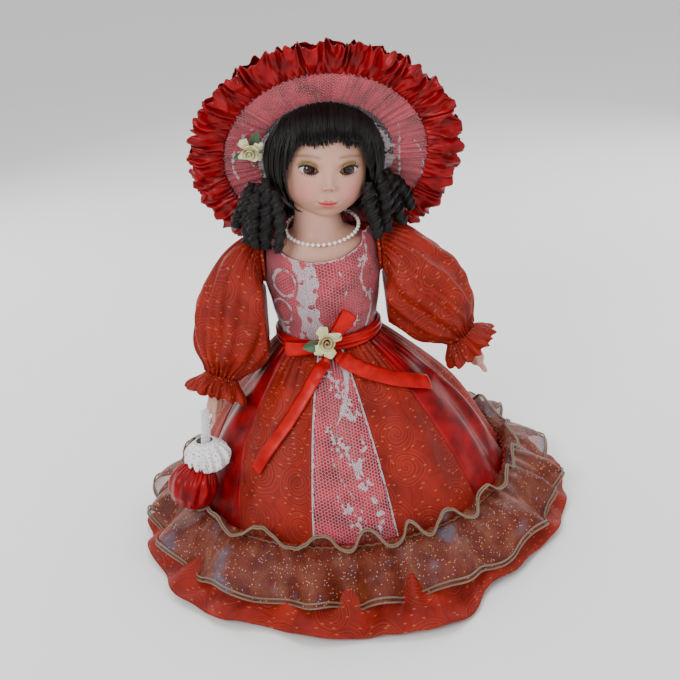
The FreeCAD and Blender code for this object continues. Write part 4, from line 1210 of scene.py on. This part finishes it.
def lip_bumps(ax, z):
    bow = 0.75 * hill(ax, 1.9, 1.5) - 0.35 * hill(ax, 0, 0.9)
    curl = 0.9 * smooth(ax, 2.5, 7)
    upper = 1.55 * hill(z, -24.5 + bow * 0.6 + curl, 1.15) * smooth(ax, MOUTH_HALF, MOUTH_HALF - 3.4)
    lower = 2.1 * hill(z, -28.5 + curl * 0.7, 1.6) * smooth(ax, 5.6, 1.6)
    parting = 1.5 * hill(z, -26.2 + curl, 0.6) * smooth(ax, MOUTH_HALF + 0.7, MOUTH_HALF - 1.5)
    return upper + lower - parting


def sculpt(points):
    """Models the face on the bare egg; also returns how far inside an eye's opening each point is."""
    x, y, z = points[..., 0].copy(), points[..., 1].copy(), points[..., 2].copy()
    ax = np.abs(x)
    push = nose_rise(z) * hill(ax, 0, nose_half(z)) + lip_bumps(ax, z)
    for rise, x0, half_x, z0, half_z in FACE_BUMPS:
        push = push + rise * hill(ax, x0, half_x) * hill(z, z0, half_z)
    y = y - push * smooth(-y, 2, 20)
    x = x * (1 + 0.13 * hill(z, -27, 13) * smooth(-points[..., 1], -14, 8))
    inside = np.zeros_like(x)
    for side in (-1, 1):
        u, upper, lower = almond(x, side)
        near = (np.abs(u) < 1.45) & (y < 0)
        lid = 1.1 * hill(z, upper + 0.9, 1.0) * smooth(np.abs(u), 1.25, 0.8)
        crease = -0.85 * hill(z, upper + 2.6, 0.7) * smooth(np.abs(u), 1.2, 0.7)
        rim = 0.7 * hill(z, lower - 0.8, 0.9) * smooth(np.abs(u), 1.2, 0.8)
        y = y - np.where(near, lid + crease + rim, 0.0)
        gap = np.minimum(np.minimum(upper - z, z - lower), (1.0 - np.abs(u)) * 5.0)
        inside = np.maximum(inside, np.where(y < 0, smooth(gap, -0.25, 0.35), 0.0))
    return join(x, y, z), inside


def lower_lash(x, z, side, u):
    """One painted lash that hangs from the lower lid."""
    root_x = side * (EYE[0] + EYE_HALF * u)
    root_z = almond(root_x, side)[2]
    dx, dz = side * (0.35 + 0.5 * u), -1.0
    s = np.clip(((x - root_x) * dx + (z - root_z) * dz) / (dx * dx + dz * dz), 0, 2.1)
    away = np.hypot(x - root_x - s * dx, z - root_z - s * dz)
    return 0.9 * smooth(away, 0.34 - 0.06 * s, 0.12) * (s > 0.02)


def eye_paint(x, z):
    """Lid shadow, brow hairs and lid lines."""
    shadow, brow, liner_and_rim_shade = np.zeros_like(x), np.zeros_like(x), np.zeros_like(x)
    for side in (-1, 1):
        u, upper, lower = almond(x, side)
        reach, outward = np.abs(u), side * u
        over_lid = smooth(z, upper - 0.5, upper + 0.6)
        shadow += hill(z, upper + 3.0, 2.6) * smooth(reach, 1.5, 0.6) * over_lid
        arch = 1.5 * np.sin(np.clip((outward + 1.35) / 2.9, 0, 1) * math.pi)
        ends = smooth(outward, -1.5, -0.9) * smooth(outward, 1.75, 1.15)
        hairs = 0.62 + 0.38 * np.sin(x * 7.5 + z * 3.0 * side)
        brow_z, brow_half = EYE[2] + 9.3 + arch - 0.5 * outward, np.clip(1.4 - 0.35 * outward, 0.4, 1.3)
        brow += hill(z, brow_z, brow_half) * ends * hairs
        liner_and_rim_shade += 1.6 * hill(z, upper + 0.35, 0.8) * smooth(reach, 1.2, 1.0)
        liner_and_rim_shade += 0.85 * hill(z, lower - 0.1, 0.4) * smooth(reach, 1.08, 0.9)
        for k in range(8):
            liner_and_rim_shade += lower_lash(x, z, side, -0.75 + k * 0.22)
    return {"shadow": shadow, "brow": brow, "liner_and_rim_shade": liner_and_rim_shade}


def mouth_paint(ax, z):
    """Lips, and the dark of their parting and of the nostrils."""
    curl = 0.9 * smooth(ax, 2.5, 7)
    fall = smooth(ax, 2.2, MOUTH_HALF)
    top = -23.4 + 0.85 * hill(ax, 1.9, 1.4) - 0.25 * hill(ax, 0, 0.8) - 1.9 * fall + curl
    bottom = -30.1 + 2.9 * smooth(ax, 2.2, MOUTH_HALF - 0.6) + curl * 0.6
    lips = smooth(z, top + 0.3, top - 0.3) * smooth(z, bottom - 0.35, bottom + 0.35)
    lips = lips * smooth(ax, MOUTH_HALF + 0.3, MOUTH_HALF - 0.4)
    parting = hill(z, -26.2 + curl, 0.42) * smooth(ax, MOUTH_HALF + 0.2, MOUTH_HALF - 1.0)
    return {"lips": lips, "mouth": parting + 0.8 * hill(ax, 2.1, 0.7) * hill(z, -14.9, 0.55)}


def face_paint(points):
    """How strongly each colour is painted at each point of the face."""
    x, z = points[..., 0], points[..., 2]
    ax = np.abs(x)
    blush = 0.9 * hill(ax, 17, 8.5) * hill(z, -16, 9.5) + 0.22 * hill(x, 0, 5) * hill(z, -40, 4)
    paint = {"blush": blush, **eye_paint(x, z), **mouth_paint(ax, z)}
    front = smooth(-points[..., 1], 8, 22)
    return {key: np.clip(value, 0, 1) * front for key, value in paint.items()}


def head():
    """Face and skull in one china piece; the eye openings are set back to a rim behind the lids, and that
    rim gets painted shade.
    """
    points, opening = sculpt(head_grid())
    paint = face_paint(points)
    points[..., 1] += opening * 5.2
    # Painted shade: the rim inside each eye opening is darkened with the lid-line paint.
    rim = smooth(opening, 0.2, 0.9) * smooth(1 - opening, 0.0, 0.8)
    paint["liner_and_rim_shade"] = np.maximum(paint["liner_and_rim_shade"], 0.6 * rim)
    rows, cols = points.shape[:2]
    uv = unrolled(cols, rows, 230, 140)
    patch = Patch().grid(on_head(points + HEAD_C), uv, wrap=True, gap=opening > 0.94, **paint)
    place(patch.build("china_head", FACE), "doll", "bisque", "shoulder_head")


def eyeballs():
    """Glass eyes that look a little to the doll's left and down."""
    for name, side in (("left", 1), ("right", -1)):
        lat = np.linspace(0, math.pi, 60)[:, None]
        turn = np.linspace(0, TURN, 65)[None, :-1]
        ray = join(np.sin(lat) * np.cos(turn), -np.cos(lat), np.sin(lat) * np.sin(turn))
        bulge = 1 + 0.07 * smooth(np.degrees(lat), 38, 8)
        look = turn_about("z", 3.0) @ turn_about("x", 2.0)
        centre = EYE * [side, 1, 1] + [0, 1.3, 0.2]
        points = (ray * bulge[..., None] * EYE_R) @ look.T + centre
        angles = {"gaze": np.degrees(lat), "spin": np.abs(turn - math.pi)}
        patch = Patch().grid(on_head(points + HEAD_C), wrap=True, **angles)
        nodes = ("eyes",) if side > 0 else ()
        place(patch.build(f"eye_{name}", EYE_GLASS), "doll", "eye_glass", *nodes)


def lid_front(x, z):
    """How far forward the sculpted face reaches at (x, z), both in the head's frame."""
    depth = np.sqrt(np.clip(1 - (x / HEAD_R[0]) ** 2 - (z / HEAD_R[2]) ** 2, 0, 1))
    return sculpt(join(x, -HEAD_R[1] * depth, z))[0][..., 1]


def lashes():
    """The upper lashes, as fine hairs that curl up from the lid."""
    draw = np.random.default_rng(7)
    patch = Patch()
    for side in (-1, 1):
        for k in range(20):
            u = -0.80 + 1.75 * k / 19
            x = side * (EYE[0] + EYE_HALF * u)
            z = almond(x, side)[1]
            start = np.array([x, lid_front(np.array([x]), np.array([z + 0.5]))[0] - 0.1, z + 0.1])
            length = 3.4 + 1.2 * u + 0.5 * draw.random()
            s = np.linspace(0, 1, 7)[:, None]
            out = np.array([side * (0.25 + 0.55 * u) + 0.1 * draw.normal(), -1.0, -0.05])
            path = start + length * (s * out * 0.75 + s ** 2 * np.array([0, 0.1, 0.95]))
            patch.tube(on_head(path + HEAD_C), 0.26 * (1 - 0.75 * s[:, 0]), sides=5)
    place(patch.build("lash_hairs", LASH), "doll", "black_fibre", "eyelashes")


# ================================================================ hair
def lock(patch, path, width, strands, draw):
    """A lock of hair: a bundle of strands that lie side by side and stray a little."""
    tangent = unit(np.gradient(path, axis=0))
    side = unit(np.cross(tangent, unit(path - on_head(HAIR_C[None]))))
    other = np.cross(tangent, side)
    s = np.linspace(0, 1, len(path))
    swell = np.sin(math.pi * np.clip(0.12 + 0.83 * s, 0, 1)) ** 0.5
    for _ in range(strands):
        a, b = draw.normal() * 0.42, draw.normal() * 0.42 * 0.45
        stray = 0.14 * np.sin(s * (4 + 5 * draw.random()) + draw.random() * 6)
        offset = (side * (a + stray)[:, None] + other * b) * width * swell[:, None]
        patch.tube(path + offset, 0.05 * width + 0.34 * swell * (0.7 + 0.5 * draw.random()), sides=5)


def on_skull(direction, lift):
    """A point on the hair's surface in a direction from its centre, in the head's frame."""
    d = unit(direction)
    reach = 1 / np.sqrt(((d / HAIR_R) ** 2).sum(-1, keepdims=True))
    return HAIR_C + d * (reach + lift)


def hair_cap():
    """The mass of hair under the locks, from behind the hairline back."""
    rows, cols = 70, 150
    lat = np.linspace(0.04, 0.80 * math.pi, rows)[:, None]
    turn = full_turn(cols, rows, -math.pi)
    points = on_skull(from_top(lat, turn), -2.2)
    back = -18.5 + 4 * smooth(points[..., 2], 318, 335)
    points[..., 1] = np.maximum(points[..., 1], np.where(points[..., 2] < 318, back, -60))
    streaks = pleats(turn, 90, 5) * 0.5
    points = points + unit(points - HAIR_C) * streaks[..., None]
    face = (points[..., 1] < -17) & (points[..., 2] < 318)
    return Patch().grid(on_head(points), unrolled(cols, rows, 280, 110), wrap=True, gap=face)


def crown_locks():
    """Locks that cover the side and back of the head under the hat."""
    draw = np.random.default_rng(11)
    patch = hair_cap()
    for k in range(76):
        turn = math.radians(52 + 256 * k / 75) + 0.03 * draw.normal()
        s = np.linspace(0, 1, 12)
        lat = 0.25 + s * (1.85 + 0.1 * draw.normal())
        lock(patch, on_head(on_skull(from_top(lat, turn + 0.1 * s), -0.4)), 3.2, 4, draw)
    place(patch.build("wig_crown", HAIR), "doll", "black_hair", "hair_crown")


def fringe_locks():
    """The fringe: an arch of combed locks over the forehead that bends down to the temples."""
    draw = np.random.default_rng(12)
    patch = Patch()
    for k in range(230):
        across = -1 + 2 * (k + 0.5 * draw.random()) / 229
        a = abs(across)
        start = np.array([4.0 + across * 24, 4.0, 341.5 - 6.5 * a ** 2])
        arch = 317.5 + 2.2 * hill(across, 0.14, 0.12) - 3.5 * a ** 2 - 24 * smooth(a, 0.60, 1.0)
        end = np.array([4.0 + across * 34.0, -38.0 + 14.5 * a ** 2.4, arch + 1.6 * draw.normal()])
        s = np.linspace(0, 1, 12)[:, None]
        path = start + (end - start) * s
        hold = smooth(s, 1.0, 0.55)
        path = path * (1 - hold) + on_skull(path - HAIR_C, 0.3) * hold
        path[:, 0] += 0.6 * draw.normal() * np.sin(math.pi * s[:, 0])
        lock(patch, on_head(path), 1.7, 3, draw)
    place(patch.build("wig_fringe", HAIR), "doll", "black_hair", "hair_fringe")


def ringlet(patch, top, end, radius, phase, draw):
    """A barrel curl: strands wound side by side round the line from top to end, over a soft core."""
    top, end = np.array(top, float), np.array(end, float)
    axis = unit(end - top)
    e1 = unit(np.cross(axis, [0.2, 1.0, 0.1]))
    e2 = np.cross(axis, e1)
    turns, count = 3, 20
    s = np.linspace(0, 1, 22 * turns)
    sway = 1.6 * np.sin(s * 5 + phase)
    line = top + np.outer(s, end - top) + sway[:, None] * e1
    swell = (0.45 + 0.55 * smooth(s, 0, 0.25)) * (1 - 0.4 * s ** 3)
    for strand in range(count):
        spin = phase + TURN * (turns * s + strand / count) + 0.1 * draw.normal()
        ridge = 0.80 + 0.20 * math.cos(TURN * strand / count * 2) + 0.05 * draw.normal()
        wide = radius * swell * ridge * (1 + 0.06 * np.sin(s * 11 + strand))
        path = line + wide[:, None] * (np.cos(spin)[:, None] * e1 + np.sin(spin)[:, None] * e2)
        patch.tube(path, (0.62 + 0.25 * draw.random()) * (1 - 0.4 * s ** 3), sides=4)
    patch.tube(line, radius * 0.72 * swell, sides=12)


# Each ringlet: where it hangs from, where it ends, and its radius.
RINGLETS = {
    "right": [((-34, -20, 291), (-38, -29, 240), 5.2), ((-40, -15, 286), (-47, -26, 241), 5.0),
              ((-44, -6, 284), (-55, -19, 243), 5.2), ((-27, -26, 283), (-30, -36, 239), 3.9),
              ((-46, 3, 281), (-60, -10, 252), 4.6)],
    "left": [((47, -12, 286), (52, -22, 242), 5.0), ((52, -3, 283), (63, -10, 243), 5.2),
             ((40, -22, 281), (41, -32, 241), 4.2), ((55, 8, 278), (72, 6, 249), 5.0),
             ((54, 16, 272), (68, 24, 246), 4.8)],
}


def ringlets(side):
    """The curls on one side of the face, and loose hairs among them."""
    draw = np.random.default_rng(21 if side == "left" else 22)
    patch = Patch()
    for k, (top, end, radius) in enumerate(RINGLETS[side]):
        ringlet(patch, top, end, radius * 1.3, 1.7 * k, draw)
    for _ in range(18):
        top, end, radius = RINGLETS[side][draw.integers(len(RINGLETS[side]))]
        s = np.linspace(0, 1, 16)[:, None]
        stray = draw.normal(size=3) * [2.5, 2.5, 1.5]
        path = np.array(top) + (np.array(end) - np.array(top)) * s * 0.95 + stray * s
        path[:, 0] += 2.0 * np.sin(s[:, 0] * 9 + draw.random() * 6)
        patch.tube(path, 0.28, sides=4)
    place(patch.build(f"wig_ringlets_{side}", HAIR), "doll", "black_hair", f"ringlets_{side}")


def back_fall():
    """Hair between the neck and the hat's brim."""
    draw = np.random.default_rng(31)
    patch = Patch()
    for k in range(46):
        across = -1 + 2 * k / 45
        top = np.array([6 + 36 * across, 16 + 12 * (1 - across ** 2), 282 - 2 * across ** 2])
        low = 243 + 2 * draw.normal() + 3 * across ** 2
        end = np.array([6 + 33 * across, 22 + 13 * (1 - across ** 2), low])
        s = np.linspace(0, 1, 10)[:, None]
        path = top + (end - top) * s
        path[:, 1] += 1.5 * np.sin(s[:, 0] * math.pi)
        lock(patch, path, 3.0, 4, draw)
    place(patch.build("wig_back", HAIR), "doll", "black_hair", "back_hair")


# ================================================================ hat, pearls, purse and hands
def disc_grid(inner, outer, rows, cols):
    """Angles round the hat's axis and radii across a ring; angle 0 is the lower edge."""
    return full_turn(cols, rows), down(cols, rows, inner, outer)


def on_disc(turn, r, height):
    """A point of the hat at an angle and a radius round its axis."""
    return on_hat(join(r * np.sin(turn), r * np.cos(turn), height))


def hat_uv(turn, r):
    """UVs in metres for a ring of the hat."""
    return join(closed_rows(turn, TURN) * 85.0, closed_rows(r)) * MM


def hat_ruffle():
    """Deeply gathered double satin frill round the brim."""
    cols, rows = 1100, 22
    patch = Patch()
    for layer, (level, seed, depth, way) in enumerate(((-1.5, 101, 1.0, -1), (2.5, 111, 0.8, 1))):
        turn, r = disc_grid(RUFFLE_IN - 1.5, RUFFLE_OUT, rows, cols)
        t = (r - r.min()) / (r.max() - r.min())
        bent = turn + 0.05 * pleats(turn, 31, seed + 3) * t
        fine = pleats(bent, 118, seed, sharp=0.8) * 1.2 * np.exp(-(t / 0.3) ** 2)
        fold = pleats(bent, 57, seed + 1, spread=1.2, sharp=0.75) * 3.0 * smooth(t, 0, 0.75)
        fold = fold * (1 - 0.25 * smooth(t, 0.8, 1.0))
        crinkle = pleats(bent + 0.1 * t, 97, seed + 4, spread=1.2) * 0.9 * smooth(t, 0.2, 0.7)
        uneven = pleats(turn, 41, seed + 2, spread=1.3) * 2.3 - 0.5
        r = r + uneven * t - layer * 1.5
        roll = way * 2.7 * np.sin(math.pi * np.clip(t, 0, 1)) ** 0.8
        height = level + (fine + fold + crinkle) * depth + roll
        patch.grid(on_disc(turn, r, height), hat_uv(turn, r) * [2.0, 1], wrap=True)
    piece = patch.build("hat_frill", CRIMSON, thick=0.4)
    place(piece, "hat", "crimson_satin", "hat_ruffle")


def hat_brim():
    """The satin brim, gathered to the crown."""
    turn, r = disc_grid(CROWN_R - 1.5, BRIM_R - 1, 26, 720)
    t = (r - r.min()) / (r.max() - r.min())
    folds = pleats(turn, 72, 121, sharp=0.9) * 0.5 + pleats(turn + 0.1 * t, 31, 122) * 0.5
    points = on_disc(turn, r, 0.3 + folds)
    piece = Patch().grid(points, hat_uv(turn, r), wrap=True).build("hat_brim_satin", PINK, thick=0.8)
    place(piece, "hat", "pink_satin", "hat_brim")


def hat_net():
    """Gathered net under the brim, with a lace edge round the face and woven sprays."""
    turn, r = disc_grid(CROWN_R - 6.5, RUFFLE_IN, 26, 720)
    t = (r - r.min()) / (r.max() - r.min())
    scallop = 1.6 * np.abs(np.sin(turn * 30)) * (1 - smooth(t, 0, 0.15))
    level = -1.3 + pleats(turn, 72, 121, sharp=0.9) * 0.4
    beside = smooth(np.abs(np.cos(turn)), 0.75, 0.2)
    inner = 0.85 * smooth(t, 0.10 + 0.34 * beside + 0.05 * np.sin(turn * 9), 0.02)
    sweep = hill(t, 0.30 + 0.45 * np.sin(turn * 1.5 + 0.6) ** 2, 0.045)
    sweep = sweep + hill(t, 0.62 - 0.35 * np.cos(turn * 2.5), 0.035)
    motif = np.maximum(inner, 0.78 * sweep * (0.35 + 0.65 * beside))
    points = on_disc(turn, r - scallop, level)
    patch = Patch().grid(points, hat_uv(turn, r), wrap=True, motif=motif)
    piece = patch.build("hat_net", LACE)
    place(piece, "hat", "white_net", "brim_net")


def hat_crown():
    """Gathered satin cap behind the brim."""
    rows, cols = 60, 420
    turn, lat = full_turn(cols, rows), down(cols, rows, 0.03, math.pi / 2 - 0.03)
    t = lat / (math.pi / 2)
    fold = pleats(turn, 44, 131, sharp=0.85) * 1.3 * smooth(t, 0.5, 1.0)
    drape = pleats(turn + 0.2 * t, 15, 132) * 1.2 * hill(t, 0.5, 0.35)
    puckered = pleats(turn, 24, 133, sharp=0.8) * 0.9 * hill(t, 0.08, 0.12)
    r = CROWN_R + fold + drape + puckered
    points = on_disc(turn, r * np.sin(lat), r * np.cos(lat) + 0.8)
    patch = Patch().grid(points, hat_uv(turn, lat * CROWN_R), wrap=True)
    piece = patch.build("hat_crown_satin", CRIMSON, thick=0.7)
    place(piece, "hat", "crimson_satin", "hat_crown")


def hat_rose():
    rose("hat_rose_bloom", HAT_ROSE, (-0.1, -0.95, -0.3), 9.0, "hat", "hat_rose", 9,
         leaves=((70, 1.0), (215, 0.9)), frame_of=on_head)


def pearls():
    """One strand of pearls, lower in front."""
    patch = Patch()
    cx, cy, a, b = BEAD_RING
    lat = np.linspace(0, math.pi, 15)[:, None]
    turn = np.linspace(0, TURN, 25)[None, :-1]
    ball = join(np.sin(lat) * np.cos(turn), np.sin(lat) * np.sin(turn), np.cos(lat))
    for k in range(BEAD_COUNT):
        t = TURN * k / BEAD_COUNT
        centre = np.array([cx + a * math.sin(t), cy - b * math.cos(t), BEAD_Z[0] - BEAD_Z[1] * math.cos(t)])
        patch.grid(centre + ball * 1.5, wrap=True)
    place(patch.build("pearl_string", PEARL), "doll", "pearl", "pearl_beads")


def pouch():
    """A gathered satin bag, pulled in at its neck."""
    axis = unit(PURSE_MOUTH - POUCH_C)
    e1 = unit(np.cross([0, 1.0, 0], axis))
    rows, cols, base, top = 80, 240, POUCH[0][0], POUCH[-1][0]
    turn, h = full_turn(cols, rows), down(cols, rows, base, top)
    radius = curve_through(POUCH)(h)
    fold = pleats(turn, 26, 141, sharp=0.8) * 1.3 * smooth(h, 2, 16)
    fold = fold + pleats(turn + h * 0.01, 11, 142) * 0.9 * hill(h, -2, 12)
    radius = radius + fold * np.minimum(radius / 12, 1.0)
    local = join(radius * np.cos(turn), radius * np.sin(turn), h)
    points = POUCH_C + local @ np.array([e1, np.cross(axis, e1), axis])
    uv = unrolled(cols, rows, TURN * 18, (top - base) * 1.2, top=base * 1.2)
    piece = Patch().grid(points, uv, wrap=True).build("purse_satin", CRIMSON, thick=0.5)
    place(piece, "purse", "crimson_satin", "purse_pouch")


def pouch_frill():
    """The lace frill that falls over the bag from its neck."""
    rows, cols = 20, 240
    turn, t = full_turn(cols, rows), down(cols, rows)
    wave = pleats(turn, 13, 143, spread=1.0) * 2.4 * smooth(t, 0, 0.7)
    picots = 0.5 * np.abs(np.sin(turn * 17)) * t ** 4
    radius = 6.5 + 9.5 * np.sin(t * 2.3) ** 0.8 + wave * 0.8 + picots
    z = 9.0 - 21.0 * t + wave * 0.6
    points = PURSE_MOUTH + join(radius * np.cos(turn), radius * np.sin(turn), z)
    patch = Patch().grid(points, unrolled(cols, rows, TURN * 16, 16), wrap=True)
    frill = patch.build("purse_frill", CROCHET, thick=0.6)
    place(frill, "purse", "white_lace", "purse_lace")


def pouch_handle():
    """The lace strap between the wrist loop and the bag."""
    path = STRAP_TOP + np.outer(np.linspace(0, 1, 40), PURSE_MOUTH - STRAP_TOP)
    points, uv = strip(path, [0.76, 0.65, 0.0], 9.0, cup=0.5)
    strap = Patch().grid(points, uv).build("purse_handle", CROCHET, thick=0.6)
    place(strap, "purse", "white_lace", "purse_strap")


def wrist_loop():
    """The lace loop round the right wrist that carries the purse."""
    cols, rows = 120, 6
    theta, s = full_turn(cols, rows), down(cols, rows, 94.0, 103.0)
    points = arm_ring("right", s, 8.8 + 0.15 * np.sin(theta * 20), theta)
    patch = Patch().grid(points, unrolled(cols, rows, 55, 9), wrap=True)
    piece = patch.build("wrist_lace", CROCHET, thick=0.5)
    place(piece, "arm_right", "white_lace", "wrist_loop")


# ================================================================ everything together
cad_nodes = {thing.name: thing for thing in bpy.data.objects if thing.type == "MESH"}
KEPT = {"stand_base": ENAMEL, "stand_tube": WIRE, "stand_rod": WIRE, "waist_clip": ENAMEL, "pate": CARD,
        "necklace_thread": THREAD, "shoe_left": SHOE, "shoe_right": SHOE}


def put_on(name, material):
    """Gives a CAD node that is kept as it is its finish."""
    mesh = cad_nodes[name].data
    mesh.materials.clear()
    mesh.materials.append(material)


def dress():
    """Makes every piece."""
    for name, material in KEPT.items():
        put_on(name, material)
    torso()
    bust()
    head()
    eyeballs()
    lashes()
    crown_locks()
    fringe_locks()
    back_fall()
    pearls()
    petticoat()
    gores()
    skirt_lace()
    flounce()
    organza_piece("organza_ruffle", "organza_frill", frill_arc, 7.0, 19, 7)
    organza_piece("organza_heading", "organza_header", header_arc, 4.2, 25, 9)
    gather_stitch()
    bodice()
    bodice_net()
    armhole_binding()
    sash()
    bow_loops()
    bow_tails()
    waist_rose()
    for side in ("left", "right"):
        ringlets(side)
        upper_arm(side)
        smoothed_copy(f"forearm_{side}", f"hand_{side}", f"arm_{side}")
        sleeve(side)
        cuff(side)
        thigh(side)
        pantaloon(side)
        smoothed_copy(f"lower_leg_{side}", f"leg_{side}_china", f"leg_{side}")
    hat_ruffle()
    hat_brim()
    hat_net()
    hat_crown()
    hat_rose()
    pouch()
    pouch_frill()
    pouch_handle()
    wrist_loop()


def studio():
    """Pale floor and soft lights."""
    bpy.ops.mesh.primitive_plane_add(size=60, location=(0, 0, 0))
    floor = bpy.context.object
    floor.name = "floor"
    shade = Shade("studio_floor", Roughness=0.7)
    tone = shade.noise(shade.place(), 3.0)
    floor.data.materials.append(shade.finish(shade.mix(tone, (0.90, 0.90, 0.89), (0.93, 0.93, 0.92))))
    lights = (("key", (-0.55, -1.1, 0.95), 0.5, 12), ("fill", (0.8, -0.9, 0.6), 0.8, 3),
              ("top", (0.1, 0.1, 1.2), 0.8, 5), ("back_left", (-0.7, 0.8, 0.6), 0.6, 5),
              ("back_right", (0.7, 0.8, 0.6), 0.6, 5))
    for name, where, size, power in lights:
        lamp = bpy.data.lights.new(name, "AREA")
        lamp.energy, lamp.size = power, size
        thing = bpy.data.objects.new(name, lamp)
        thing.location = where
        thing.rotation_euler = (Vector((0, 0, 0.18)) - Vector(where)).to_track_quat("-Z", "Y").to_euler()
        bpy.context.scene.collection.objects.link(thing)
    world = bpy.data.worlds.new("studio")
    world.use_nodes = True
    world.node_tree.nodes["Background"].inputs[0].default_value = (0.9, 0.9, 0.9, 1)
    world.node_tree.nodes["Background"].inputs[1].default_value = 0.9
    bpy.context.scene.world = world


def camera():
    """A camera in front of the doll and a little above it."""
    lens = bpy.data.cameras.new("camera")
    lens.lens, lens.sensor_width = 62.9, 36.0
    thing = bpy.data.objects.new("camera", lens)
    spot, aim = Vector((0.008, -0.850, 0.5311)), Vector((0.0077, 0, 0.1491))
    thing.location = spot
    thing.rotation_mode = "QUATERNION"
    thing.rotation_quaternion = (aim - spot).to_track_quat("-Z", "Y") @ Quaternion((0, 0, 1), -0.1006)
    bpy.context.scene.collection.objects.link(thing)
    bpy.context.scene.camera = thing


dress()
studio()
camera()
